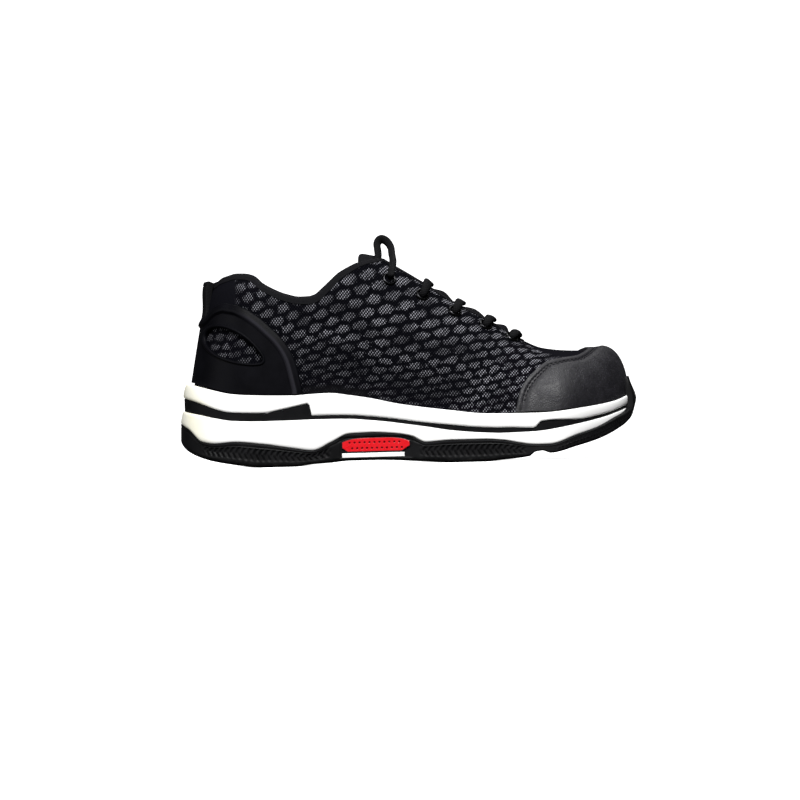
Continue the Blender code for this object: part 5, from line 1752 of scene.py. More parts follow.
@dataclass
class ToeCap(ShoePart):
    """The leather cap over the toe, with a flange outside its double-stitched groove."""

    seat: float = 0.0010
    thickness: float = 0.0015
    flange: float = 0.0029
    groove_half: float = 0.0013
    groove_depth: float = 0.0008
    puff: float = 0.0005
    half_columns: int = 96
    rows: int = 66
    stitch_pitch: float = 0.0031
    stitch_length: float = 0.0022
    stitch_radius: float = 0.00032
    stitch_rows: tuple[float, ...] = (0.0036, 0.0049)

    def profile(self, away: Array) -> Array:
        """Lift at a distance from the seam edge: a rounded edge, the flange, the stitched groove, and the
        leather rising past it.

        Args:
            away: Distances from the edge, in metres.

        Returns:
            The lifts, in metres.
        """
        edge = dome(away / 0.0007)
        lift = self.seat * (0.15 + 0.85 * edge) + 0.85 * self.thickness * edge
        groove = np.exp(-(((away - self.flange - self.groove_half) / self.groove_half) ** 4))
        rise = (0.15 * self.thickness + self.puff) * ramp(away, self.flange + 2 * self.groove_half, 0.0085)
        return lift - self.groove_depth * groove + rise

    def build(self) -> None:
        """Makes the cap as a closed shell, and its two rows of stitches."""
        turns, distance = self.last.foot_lengths()
        length, half = self.sole.length, self.half_columns
        from_toe = CAP.key[-1] * length * np.linspace(-1, 1, 2 * half + 1)
        turn = np.interp(np.interp(0.5, turns, distance) + from_toe, distance, turns)
        top = CAP.at("climb", np.abs(from_toe) / length)
        shut = top > 0.9995
        top = np.where(shut, 1.0, top)
        base = np.minimum(self.last.rim_climb(turn, self.seat + self.thickness), top - 0.005)
        columns = Columns(self.last, turn, base, top)
        spread = 1 - (1 - np.linspace(0, 1, self.rows)) ** 1.5
        climbs = columns.climbs_at(columns.total() * spread[:, None])
        column = np.arange(len(turn))
        mirror = column[::-1]

        def lifted(lift: Array) -> Array:
            """The cap's grid at that lift, its closed top row the same on both sides.

            Args:
                lift: Distances off the last.

            Returns:
                Rows of points.
            """
            sheet = self.last.point(turn, climbs, lift)
            sheet[-1] = np.where(shut[:, None], (sheet[-1] + sheet[-1, mirror]) / 2, sheet[-1])
            return sheet

        bare = lifted(0.0)
        left, right = (np.flatnonzero(~shut & side) for side in (column < half, column > half))
        seam = Builder.route(bare[-1, [*left, left[-1] + 1, *right]], 700)
        away = distance_to(seam, bare)
        outer, inner = lifted(self.profile(away)), lifted(0.0001)
        index = numbered(self.rows, len(turn))
        index[-1] = np.where(shut & (column > half), index[-1, mirror], index[-1])
        faces = Builder.shell_faces(Builder.quads(index), index.size)
        Builder.piece(
            "toe_cap_leather", joined(outer, inner), faces, self.finishes.leather, "toe_leather", ("toe_cap",)
        )
        self.stitches(seam, joined(outer), away.ravel())

    def stitches(self, seam: Array, skin: Array, away: Array) -> None:
        """Short thread runs in two rows along the groove, each on the nearest skin points.

        Args:
            seam: Points along the cap's seam edge.
            skin: Points of the leather.
            away: Distance of each of them from the seam edge.
        """
        stitches = []
        end = distances(seam)[-1]
        count = int(end / 0.0008)
        middle = points_at(seam, np.linspace(0.004, end - 0.004, count))
        for row in self.stitch_rows:
            band = np.abs(away - row) < 0.0011
            near, near_away = skin[band], away[band]
            gap = np.linalg.norm(near[None] - middle[:, None], axis=-1)
            weight = np.exp(-((gap / 0.0042) ** 4)) * np.exp(-(((near_away - row) / 0.00045) ** 2))[None]
            weight = weight * np.exp(-((gap - row) / 0.0007) ** 2) + 1e-12
            line = (weight[..., None] * near[None]).sum(axis=1) / weight.sum(axis=1, keepdims=True)
            line = Builder.route(line[::2], count)
            for start in np.arange(0.002, distances(line)[-1] - 0.004, self.stitch_pitch):
                path = points_at(line, start + self.stitch_length * np.linspace(0, 1, 5))
                outward = unit(path.mean(axis=0) - np.array([0.085, path[:, 1].mean() * 0.2, 0.035]))
                arc = np.sin(np.linspace(0, math.pi, 5))[:, None]
                path = path + outward * (0.00042 * arc - 0.00012)
                wide = unit(np.cross(np.gradient(path, axis=0), outward))
                radius = np.full(5, self.stitch_radius)
                stitches.append(Builder.band_tube(path, wide, radius, radius, 6))
        points, faces, weaves = zip(*stitches)
        first = np.cumsum([0, *(len(stitch) for stitch in points[:-1])])
        Builder.piece(
            "toe_cap_stitches", np.concatenate(points), np.concatenate([f + n for f, n in zip(faces, first)]),
            self.finishes.thread, "toe_leather", (), {"weave": np.concatenate(weaves)},
        )


@dataclass
class HeelCounter(ShoePart):
    """The moulded counter: a raised rib along its edge, a recessed field, and a window each side with a
    raised lip."""

    seat: float = 0.0010
    thickness: float = 0.0014
    rib: float = 0.0014
    rib_width: float = 0.0060
    half_columns: int = 150
    rows: int = 86
    window_x: float = 0.1275
    window_z: float = 0.0785
    window_length: float = 0.0410
    window_height: float = 0.0185
    window_tilt: float = math.radians(-28)
    lip_half: float = 0.0011
    lip_rise: float = 0.0010

    def build(self) -> None:
        """Makes the counter and the lips of its windows."""
        turns, distance = self.last.foot_lengths()
        around = COUNTER.key[-1] * self.sole.length * np.linspace(-1, 1, 2 * self.half_columns + 1)
        turn = np.interp(np.mod(around, distance[-1]), distance, turns)
        edge = self.last.instep_height * COUNTER.at("height", np.abs(around) / self.sole.length)
        low = self.last.rim_climb(turn, self.seat + self.thickness + self.rib)
        columns = Columns(self.last, turn, low, np.maximum(self.last.climb_to(turn, edge), low + 0.004))
        spread = 1 - (1 - np.linspace(0, 1, self.rows)) ** 1.15
        climbs = columns.climbs_at(columns.total() * spread[:, None])
        bare = self.last.point(turn, climbs)
        rim = np.concatenate([bare[:, 0], bare[-1], bare[::-1, -1]])
        away = distance_to(Builder.route(rim[::3], 900), bare)
        outer, inner = (self.last.point(turn, climbs, lift) for lift in (self.profile(away), 0.0001))
        faces = Builder.quads(numbered(*away.shape))
        middle = joined(bare)[faces].mean(axis=1)
        faces = faces[self.window_field(middle[:, 0], middle[:, 2]) > 1.0]
        # zone: distance from the edge in millimetres, and 1 away from the heel's back; together they place
        # the painted highlight on the rib
        zone = vectors_of(away / MM, ramp(bare[..., 0], -0.112, -0.098), 0.0)
        Builder.piece(
            "heel_counter_shell", joined(outer, inner), Builder.shell_faces(faces, away.size),
            self.finishes.counter, "counter_plastic", ("heel_counter",), {"zone": np.tile(zone, (2, 1))},
        )
        for side in Side:
            self.lip(side)

    def profile(self, away: Array) -> Array:
        """Lift at a distance from the counter's edge: a rounded rib, a step down and the field.

        Args:
            away: Distances from the edge, in metres.

        Returns:
            The lifts, in metres.
        """
        edge = dome(away / 0.0010)
        field = self.seat + self.thickness
        rib = self.rib * (1 - ramp(away, self.rib_width - 0.0006, self.rib_width + 0.0012))
        rib = rib * (0.25 + 0.75 * ramp(away, 0.0008, 0.0042))
        return 0.0002 + (field + rib - 0.0002) * edge

    def window_point(self, turn: Array, grow: Array) -> tuple[Array, Array]:
        """x and z on the window's outline, an ellipse drawn out to its lower front end, grown by a
        distance.

        Args:
            turn: Angles round the window, in radians.
            grow: Distances outwards.

        Returns:
            x, and z.
        """
        u = (self.window_length / 2 + grow) * np.cos(turn)
        v = (self.window_height / 2 + grow) * np.sin(turn) * (1 - 0.30 * np.cos(turn))
        c, s = math.cos(self.window_tilt), math.sin(self.window_tilt)
        centre = (self.window_x - 0.5) * self.sole.length
        return centre + u * c - v * s, self.window_z + u * s + v * c

    def window_field(self, x: Array, z: Array) -> Array:
        """Below 1 inside the window and above 1 outside it.

        Args:
            x: Places along the shoe, in metres.
            z: Heights, in metres.

        Returns:
            The values.
        """
        c, s = math.cos(self.window_tilt), math.sin(self.window_tilt)
        dx, dz = x - (self.window_x - 0.5) * self.sole.length, z - self.window_z
        u = (dx * c + dz * s) / (self.window_length / 2)
        v = (-dx * s + dz * c) / (self.window_height / 2)
        v = v / (1 - 0.30 * np.clip(u, -1, 1))
        return np.hypot(u, v)

    def lip(self, side: Side) -> None:
        """A rounded lip swept along the window on the counter's surface.

        Args:
            side: The window's side of the shoe.
        """
        around, section = (np.linspace(0, 2 * math.pi, n, endpoint=False) for n in (150, 14))
        turn, section = np.meshgrid(around, section, indexing="ij")
        base = self.seat + self.thickness
        lift = 0.5 * (base + self.lip_rise) * (1 + signed_power(np.sin(section), 0.7))
        x, z = self.window_point(turn, 0.0004 + self.lip_half * np.cos(section))
        points = joined(self.last.point(*self.last.locate(x, z, side), np.maximum(lift, 0.0001)))
        index = numbered(*x.shape)
        faces = Builder.outward(points, Builder.quads(np.concatenate([index, index[:1]]), wrap=True))
        name = f"counter_window_lip_{side.name.lower()}"
        Builder.piece(name, points, faces, self.finishes.counter, "counter_plastic")


@dataclass
class HeelTab(ShoePart):
    """The webbing tab up the back seam, flared at its top."""

    seat: float = 0.0010
    thickness: float = 0.0016
    half_width: float = 0.0135
    rise: float = 0.0020
    fold: float = 0.0026
    flare: float = 0.0038
    rows: int = 60
    columns: int = 49

    def build(self) -> None:
        """Makes the tab as a closed band with rounded edges."""
        turns, distance = self.last.foot_lengths()
        around = self.half_width * np.linspace(-1, 1, self.columns)
        turn = np.interp(np.mod(around, distance[-1]), distance, turns)
        instep = self.last.instep_height
        low = instep * COUNTER.at("height", np.abs(around) / self.sole.length) - 0.0010
        base = self.last.arch(turn, np.zeros(self.columns))[:, 2]
        collar = instep * COLLAR.at("height", self.sole.raw_plan(turn)[0]) - base
        rows = np.linspace(0, 1, self.rows)[:, None]
        height = low + (collar + self.rise - self.fold - low) * rows
        climbs = self.last.climb_to(np.broadcast_to(turn, height.shape), height)
        side = brow((np.abs(around) / self.half_width - 0.90) / 0.10)
        end = brow((rows - 0.965) / 0.035)
        hem = 0.0004 * np.exp(-(((rows - 0.88) / 0.012) ** 4))
        out = self.flare * ramp(rows, 0.1, 1.0) + 0 * around
        outer_lift = self.seat + out + self.thickness * (0.25 + 0.75 * side * end) - hem
        outer = self.last.point(turn, climbs, outer_lift)
        inner = self.last.point(turn, climbs, self.seat * 0.3 + 0.25 * out)
        weave = vectors_of(distances(outer), around, 0.0)
        faces = Builder.shell_faces(Builder.quads(numbered(self.rows, self.columns)), height.size)
        Builder.piece(
            "heel_tab_webbing_band", joined(outer, inner), faces,
            self.finishes.webbing, "webbing", ("heel_tab",), {"weave": np.tile(weave, (2, 1))},
        )


@dataclass
class Tongue(ShoePart):
    """The padded tongue under the throat, with a rounded top that stands past the collar."""

    thickness: float = 0.0052
    half_width: float = 0.0270
    clear: float = 0.0009
    dip: float = 0.0020
    puff: float = 0.0028
    rest: float = 0.0007
    bow: float = 0.0040
    top: float = 0.402
    root: float = 0.800
    lace_radius: float = 0.0018
    rows: int = 150
    sides: int = 72

    def middle_sink(self, shares: Array) -> Array:
        """Depth of the pad's middle under the last: close under each lace bar, puffed up between the bars,
        and down again at the throat's end.

        Args:
            shares: Shares of the sole's length.

        Returns:
            The depths, in metres.
        """
        length = self.sole.length
        bars = np.array(Eyelets.shares[1:]) + self.bow / length
        between = (bars[1:] + bars[:-1]) / 2
        nodes = np.sort([*np.linspace(self.top, bars[0], 5), *bars[1:], *between])
        x = (nodes - 0.5) * length
        crown = self.last.arch(*self.last.place(x, 0.0))[:, 2]
        lip = self.last.arch(*self.last.place(x, -self.last.throat_width(x)))[:, 2]
        raised = crown - lip - 0.5 * self.rest - self.puff * np.isin(nodes, between)
        raised = raised + self.dip * (1 - ramp(nodes, self.top, 0.430))
        raised[-1] = self.last.wall + self.clear + 2 * self.lace_radius + 2 * self.sole.gap
        return Table(tuple(nodes), {"sink": tuple(raised)}).at("sink", shares)

    def build(self) -> None:
        """A pad between two sheets: each section is a rounded strip laid along the last."""
        shares = self.top + (self.root - self.top) * np.linspace(0, 1, self.rows)[:, None] ** 1.1
        around = np.linspace(0, 2 * math.pi, self.sides, endpoint=False)[None, :]
        across = signed_power(np.cos(around), 0.75)
        height = signed_power(np.sin(around), 0.85)
        round_top = dome((shares - self.top + 0.004) / 0.05)
        half = self.half_width * (0.35 + 0.65 * round_top) * (1 - 0.25 * ramp(shares, 0.5, 0.8))
        thick = self.thickness * (1 - 0.6 * ramp(shares, 0.66, 0.78)) * (1 - 0.40 * np.abs(across) ** 3)
        tip = np.sqrt(1 - (1 - np.clip((shares - self.top) / 0.010, 0.02, 1)) ** 2)
        tip = tip * np.sqrt(1 - np.clip((shares - self.root + 0.010) / 0.010, 0, 0.999) ** 2)
        room = 2 * self.lace_radius + 2 * self.sole.gap
        sink = self.last.wall + self.clear + room * (1 - ramp(shares, 0.735, 0.775))
        middle = np.minimum(self.middle_sink(shares), sink)
        sink = sink + (middle - sink) * (1 - ramp(np.abs(across), 0.2, 0.6))
        quilt = 0.0002 * np.cos(shares * 2 * math.pi / 0.045) * (1 - np.abs(across) ** 2)
        depth = sink + thick / 2 - (thick / 2) * height * tip - quilt * (height > 0) * tip
        x = np.broadcast_to((shares - 0.5) * self.sole.length, depth.shape)
        turns, climbs = self.last.place(x.ravel(), (across * half * (0.94 + 0.06 * tip)).ravel())
        points = self.last.point(turns, climbs, -depth.ravel()).reshape(*depth.shape, 3)
        index = numbered(*depth.shape)
        faces = np.concatenate([Builder.quads(index, wrap=True), Builder.poles(index, index.size)])
        flat = joined(points, points[:1].mean(axis=1), points[-1:].mean(axis=1))
        faces = Builder.outward(flat, faces)
        made = Builder.piece("tongue_pad", flat, faces, self.finishes.tongue, "lining", ("tongue",))


@dataclass
class Eyelets(ShoePart):
    """Ten rolled metal eyelets, five a side."""

    bore: float = 0.0027
    barrel: float = 0.0033
    flange: float = 0.0047
    seat: float = 0.0005
    lip: float = 0.0008
    set_back: float = 0.0086
    shares: tuple[float, ...] = (0.466, 0.537, 0.606, 0.672, 0.728)

    def build(self) -> None:
        """Turns a rolled section about each hole's own axis."""
        turn = np.linspace(0, 2 * math.pi, 44, endpoint=False)
        roll = np.linspace(0, math.pi, 11)
        middle, half = (self.bore + self.flange) / 2, (self.flange - self.bore) / 2
        radius = np.concatenate([[self.barrel, self.bore], middle - half * np.cos(roll), [self.barrel]])
        over_flange = self.seat * 0.2 + (self.seat + self.lip) * np.sin(roll)
        height = np.concatenate([[-self.last.wall, -self.last.wall], over_flange, [0.0001]])
        index = numbered(len(turn), len(radius))
        faces = Builder.quads(np.concatenate([index, index[:1]]), wrap=True)
        for side in Side:
            x = (np.array(self.shares) - 0.5) * self.sole.length
            turns, climbs = self.last.place(x, side.value * (self.last.throat_width(x) + self.set_back))
            centres = self.last.arch(turns, climbs)
            axes = self.last.normals(turns, climbs)
            for n, (centre, axis) in enumerate(zip(centres, axes)):
                first = unit(np.cross(axis, np.array([0.0, 0.0, 1.0])))
                second = np.cross(axis, first)
                spoke = np.cos(turn)[:, None] * first + np.sin(turn)[:, None] * second
                points = centre + spoke[:, None, :] * radius[None, :, None] + axis * height[None, :, None]
                flat = points.reshape(-1, 3)
                outward = Builder.outward(flat - centre, faces)
                name = f"eyelet_{side.name.lower()}_{n + 1}"
                Builder.piece(name + "_metal", flat, outward, self.finishes.metal, "eyelet_metal", (name,))


@dataclass
class Laces(ShoePart):
    """Straight lace bars through the lower eyelets, and a short tied loop from each top one."""

    eyelets: Eyelets
    radius: float = 0.0018
    bow: float = 0.0040
    rest: float = 0.0007
    held: tuple = ((0.74, 0.0006), (0.88, 0.0008), (1.0, 0.0000))
    bar_half_width: float = 0.0028
    bar_half_thick: float = 0.0017
    loop_half_width: float = 0.0024
    loop_half_thick: float = 0.0013
    loop_points: int = 34
    exit: tuple = ((0.0000, 1.00, 0.0000), (0.0004, 0.87, 0.0007), (0.0006, 0.70, 0.0010))
    back: tuple = ((-0.0062, 0.54, -0.0055), (-0.0078, 0.74, None))
    free: dict = field(default_factory=lambda: {
        Side.OUTER: ((-0.0006, 0.0058, 0.0045), (-0.0012, 0.0090, 0.0092), (-0.0038, 0.0110, 0.0134),
                     (-0.0076, 0.0117, 0.0149), (-0.0101, 0.0108, 0.0120), (-0.0098, 0.0088, 0.0070)),
        Side.INNER: ((-0.0006, 0.0058, 0.0042), (-0.0012, 0.0086, 0.0086), (-0.0038, 0.0102, 0.0125),
                     (-0.0076, 0.0106, 0.0139), (-0.0101, 0.0096, 0.0110), (-0.0097, 0.0080, 0.0062)),
    })

    def over_lip(self, clear: Array) -> Array:
        """Lift of a lace's middle where it passes over an eyelet's lip."""
        return self.eyelets.seat + self.eyelets.lip + self.sole.gap + self.radius + clear

    def build_loops(self) -> None:
        """The tied ends: from each top eyelet over the throat's edge, round a short loop and back."""
        x = (self.eyelets.shares[0] - 0.5) * self.sole.length
        edge = float(self.last.throat_width(np.array(x))) + self.eyelets.set_back
        under = -(self.last.wall + 2 * self.sole.gap + self.radius)
        steps = self.exit + self.back
        place = np.array([x + step for step, _, _ in steps])
        across = np.array([a for _, a, _ in steps]) * edge
        lift = np.array([under if h is None else self.over_lip(h) for _, _, h in steps])
        for side in Side:
            turns, climbs = self.last.place(place, side.value * across)
            held = self.last.point(turns, climbs, lift)
            start = held[len(self.exit) - 1]
            free = [start + np.array([dx, -side.value * dy, dz]) for dx, dy, dz in self.free[side]]
            out = len(self.exit)
            path = Builder.route(np.array([*held[:out], *free, *held[out:]]), self.loop_points)
            fine = Builder.route(path, 110)
            wide = np.tile([0.0, 1.0, 0.0], (len(fine), 1))
            tangent = unit(np.gradient(fine, axis=0))
            wide = unit(0.35 * wide + np.cross(tangent, [0.0, 1.0, 0.0]))
            half = np.full(len(fine), self.loop_half_width)
            points, faces, weave = Builder.band_tube(
                fine, wide, half, np.full(len(fine), self.loop_half_thick)
            )
            name = f"lace_loop_{side.name.lower()}"
            made = Builder.piece(
                name + "_braid", points, faces, self.finishes.lace, "lace", (name,), {"weave": weave}
            )

    def build_bars(self) -> None:
        """Each bar comes up out of one eyelet's bore, lies over the throat and goes down its partner's."""
        for n, share in enumerate(self.eyelets.shares[1:]):
            x = (share - 0.5) * self.sole.length
            width = float(self.last.throat_width(np.array(x)))
            edge = width + self.eyelets.set_back
            lip = width / edge
            half = np.array([0.5 * lip, lip, *(a for a, _ in self.held)])
            across = np.concatenate([-half[::-1], [0.0], half])
            clear = np.interp(np.abs(across), [a for a, _ in self.held], [h for _, h in self.held])
            place = x + self.bow * (1 - across**2)
            turns, climbs = self.last.place(place, edge * across)
            thinner = self.radius - self.bar_half_thick
            over = self.last.point(turns, climbs, self.over_lip(clear) - thinner - 0.0003)
            narrow = self.last.throat_width(place)
            lift = self.radius + self.rest - thinner
            low, high = (
                self.last.point(*self.last.place(place, side.value * narrow), lift) for side in Side
            )
            straight = low + (high - low) * ((edge * across / narrow + 1) / 2)[:, None]
            route = np.where((np.abs(across) <= lip)[:, None], straight, over)
            down = self.last.normals(turns, climbs)
            deep = 0.0022 + self.over_lip(0.0)
            outer_end, inner_end = route[0] - down[0] * deep, route[-1] - down[-1] * deep
            outer_lip, inner_lip = route[0] - down[0] * 0.0016, route[-1] - down[-1] * 0.0016
            path = Builder.route(np.array([outer_end, outer_lip, *route[1:-1], inner_lip, inner_end]), 90)
            slope = self.crown_slope(path[:, 0])
            t = np.linspace(-1, 1, len(path))
            wide = slope + 0.25 * np.sin(3.0 * t + 1.3 * n)[:, None] * np.array([0.0, 0.0, 1.0])
            narrow = 1 - 0.30 * ramp(np.abs(t), 0.72, 0.96)
            points, faces, weave = Builder.band_tube(
                path, wide, self.bar_half_width * narrow, self.bar_half_thick * np.ones(len(path))
            )
            Builder.piece(
                f"lace_bar_{n + 1}_braid", points, faces, self.finishes.lace, "lace", (f"lace_bar_{n + 1}",),
                {"weave": weave},
            )

    def crown_slope(self, x: Array) -> Array:
        """Direction along the crown line at x, pointing towards the toe.

        Args:
            x: Places along the shoe, in metres.

        Returns:
            Unit vectors.
        """
        share = self.sole.share_at(x)
        rise = LAST.at("crown", share + 0.01) - LAST.at("crown", share - 0.01)
        run = 0.02 * self.sole.length
        return unit(vectors_of(run, 0 * x, rise * self.last.instep_height))


@dataclass
class Midsole(ShoePart):
    """Two white foams with the dark plate between them, and the insole in the upper one's cup."""

    half_columns: int = 260
    side_rows: int = 15
    edge_round: float = 0.0009
    plate_recess: float = 0.0009
    insole_thickness: float = 0.0040

    def loft(
        self, name: str, rings: list[Array], finish: bpy.types.Material, slot: str, node: str
    ) -> bpy.types.Object:
        """A closed body through loops of points, its ends closed by strips across.

        Args:
            name: Name of the piece.
            rings: The loops, from the lowest.
            finish: Its material.
            slot: The record's material slot.
            node: The solid that it stands for.

        Returns:
            The object.
        """
        index = numbered(len(rings), len(rings[0]))
        ends = Builder.strips(index[0])[:, ::-1], Builder.strips(index[-1])
        points = np.concatenate(rings)
        faces = Builder.outward(points, np.concatenate([Builder.quads(index, wrap=True), *ends]))
        return Builder.piece(name, points, faces, finish, slot, (node,), sharp=40.0)

    def side(
        self, turns: Array, low: Height, high: Height, shares: tuple[float, float], swell: float
    ) -> list[Array]:
        """Loops up a foam's side, its edges rounded and its middle a little full.

        Args:
            turns: Turns round the outline.
            low: Height of the foam's lower edge.
            high: Height of its upper edge.
            shares: How far up the whole side those edges are.
            swell: How full its middle is.

        Returns:
            The loops.
        """
        rings = []
        for q in (1 - np.cos(np.linspace(0, math.pi, self.side_rows))) / 2:
            inset = self.sole.foam_inset(turns, shares[0] + (shares[1] - shares[0]) * q)
            corner = np.clip((abs(2 * q - 1) - 0.72) / 0.28, 0, 1)
            inset = inset + self.edge_round * (1 - math.sqrt(1 - corner**2)) - swell * (1 - (2 * q - 1) ** 2)
            rings.append(self.sole.loop(turns, inset, lambda x: low(x) * (1 - q) + high(x) * q))
        return rings

    def build(self) -> None:
        """Makes the lower foam, the plate, the upper foam and the insole."""
        sole, gap, finishes = self.sole, self.sole.gap, self.finishes
        turns = sole.even_turns(self.half_columns)

        def over(surface: str | Height, lift: float = 0.0) -> Height:
            """Height of a surface, or of a line of the side view, lifted."""
            height = surface if callable(surface) else lambda x: sole.level(surface, x)
            return lambda x: height(x) + lift

        def loops(*rows: tuple[Array, Height]) -> list[Array]:
            """Loops from pairs of a distance inwards and a height."""
            return [sole.loop(turns, distance, height) for distance, height in rows]

        plug = sole.cup_wall + gap
        in_cup = loops((plug, over("floor", gap)), (plug, over("tread", gap)))
        side = self.side(turns, over("tread", gap), over("plate"), (0.05, 0.45), 0.0003)
        self.loft("midsole_lower_foam", [*in_cup, *side], finishes.foam, "white_foam", "midsole_lower")

        recess = sole.foam_inset(turns, 0.45) + self.plate_recess
        plate = loops(
            (recess + 0.0004, over("plate", gap * 0.3)), (recess, over("plate", gap * 0.3 + 0.0004)),
            (recess, over(sole.plate_top, -0.0004)), (recess + 0.0004, sole.plate_top),
        )
        self.loft("midsole_plate_band", plate, finishes.plate, "black_foam", "midsole_plate")

        side = self.side(turns, over(sole.plate_top, gap * 0.5), over("rim"), (0.50, 1.0), 0.0005)
        cup = sole.upper_inset(turns) - gap
        cup_wall = loops((cup, over("rim")), (cup, sole.cup_floor))
        self.loft("midsole_upper_foam", [*side, *cup_wall], finishes.foam, "white_foam", "midsole_upper")

        edge, top = sole.upper_inset(turns) + self.last.wall + gap, self.insole_thickness
        section = (
            (0.0004, 0.0), (0.0, 0.0006), (0.0, top - 0.0010), (0.0003, top - 0.0003), (0.0010, top),
            (0.0060, top - 0.0003), (0.0140, top - 0.0009),
        )
        insole = loops(*((edge + inward, over(sole.cup_floor, gap + rise)) for inward, rise in section))
        made = self.loft("insole_footbed", insole, finishes.insole, "lining", "insole")


@dataclass
class Outsole(ShoePart):
    """The rubber cup: chevron ribs on its sides, a serrated toe, a bumper over the tip and a lugged tread."""

    half_columns: int = 620
    tread_columns: int = 44
    rib_zones: tuple = ((0.055, 0.325), (0.525, 0.745))
    rib_pitch: float = 0.0038
    rib_depth: float = 0.0009
    rib_lean: float = 0.0030
    serration_pitch: float = 0.0026
    serration_depth: float = 0.0007
    groove_depth: float = 0.0022
    groove_width: float = 0.0032
    grooves: tuple = (0.112, 0.162, 0.218, 0.560, 0.618, 0.706)
    lug_pitch: float = 0.0085
    side_rows: int = 22
    bumper_lean: float = 0.0042

    def relief(self, share: Array, along: Array, rise: float) -> Array:
        """How far the side sinks at a height share: chevrons "<" with their points towards the heel.

        Args:
            share: Shares of the sole's length.
            along: Distances from the heel end.
            rise: Share of the way up the side.

        Returns:
            Distances inwards, in metres.
        """
        soft = 0.008
        zone = sum(plateau(share, a - soft, a + soft, b - soft, b + soft) for a, b in self.rib_zones)
        band = plateau(rise, 0.10, 0.20, 0.74, 0.82)
        wave = np.cos(2 * math.pi * (along - self.rib_lean * abs(2 * rise - 1)) / self.rib_pitch)
        chevron = self.rib_depth * zone * band * ramp(wave, -0.6, 0.5)
        at_toe = ramp(share, 0.80, 0.83)
        teeth = ramp(np.cos(2 * math.pi * along / self.serration_pitch), -0.4, 0.6)
        serration = self.serration_depth * at_toe * teeth * (1 - ramp(rise, 0.30, 0.45))
        fine = np.cos(2 * math.pi * (along + 0.5 * self.rib_lean * rise) / (0.8 * self.serration_pitch))
        toe_ribs = 0.00035 * at_toe * ramp(fine, -0.4, 0.5) * plateau(rise, 0.42, 0.50, 0.78, 0.86)
        rim_line = 0.00045 * np.exp(-(((rise - 0.87) / 0.025) ** 2)) * (1 - ramp(share, 0.93, 0.97))
        return chevron + serration + toe_ribs + rim_line

    def pocket(self, share: Array, z: Array) -> Array:
        """Sinking round the arch insert and its bar, so that each sits in a black rim.

        Args:
            share: Shares of the sole's length.
            z: Heights, in metres.

        Returns:
            Distances inwards, in metres.
        """
        lengthwise = plateau(share, 0.346, 0.351, 0.503, 0.508)
        upright = plateau(z, 0.0036, 0.0042, 0.0180, 0.0186)
        return 0.0006 * lengthwise * upright

    def build(self) -> None:
        """Makes the outsole as one closed body: tread, side, rim, cup wall and cup floor."""
        sole = self.sole
        turns = sole.even_turns(self.half_columns)
        outline = sole.plan(turns)
        steps = np.linalg.norm(np.diff(outline, axis=0, append=outline[:1]), axis=1)
        along = np.concatenate([[0], np.cumsum(steps)[:-1]])
        along = np.minimum(along, steps.sum() - along)
        near_bumper = sole.toe_nearness(turns, sole.bumper_half_width * 1.25)
        share = sole.share_at(outline[:, 0])

        def heights(points: Array) -> tuple[Array, Array, Array]:
            """Ground, rise of the rounded lower edge, and top of the side at each point.

            Args:
                points: The points.

            Returns:
                The three heights, in metres.
            """
            ground = sole.level("ground", points[:, 0])
            top = np.maximum(sole.level("tread", points[:, 0]), near_bumper * sole.bumper_top)
            return ground, np.minimum(0.20 * (top - ground), 0.0026), top

        rings = []
        for angle in np.linspace(0, math.pi / 2, 6)[:-1]:
            relief = self.relief(share, along, 0.0) * math.sin(angle)
            points = sole.inset(turns, sole.sole_edge * (1 - math.sin(angle)) + relief)
            ground, lift, _ = heights(points)
            rings.append(np.column_stack([points, ground + lift * (1 - math.cos(angle))]))
        ground, lift, top = heights(outline)
        for q in np.linspace(0, 1, self.side_rows):
            z = ground + lift + (top - 0.0006 - ground - lift) * q
            lean_in = self.bumper_lean * near_bumper * ramp(z, 0.038, 0.054)
            inset = self.relief(share, along, q) + self.pocket(share, z) + 0.0003 * q + lean_in
            rings.append(np.column_stack([sole.inset(turns, inset), z]))
        for angle in np.linspace(0, math.pi / 2, 4)[1:]:
            inset = 0.0003 + 0.0006 * (1 - math.cos(angle)) + self.bumper_lean * near_bumper
            rings.append(np.column_stack([sole.inset(turns, inset), top - 0.0006 * (1 - math.sin(angle))]))
        rings.append(np.column_stack([sole.inset(turns, sole.cup_wall + 0.0026 * near_bumper), top]))
        inner = sole.inset(turns, sole.cup_wall)
        shoulder = np.minimum(top - 0.0003, sole.level("rim", inner[:, 0]) + 0.0008)
        rings += [np.column_stack([inner, z]) for z in (shoulder, sole.level("floor", inner[:, 0]))]

        index = numbered(len(rings), len(turns))
        tread, tread_faces = self.tread(rings[0], index.size)
        faces = np.concatenate([Builder.quads(index, wrap=True), Builder.strips(index[-1]), tread_faces])
        Builder.piece(
            "outsole_rubber_cup", np.concatenate([*rings, tread]), faces, self.finishes.rubber,
            "outsole_rubber", ("outsole",), sharp=42.0,
        )

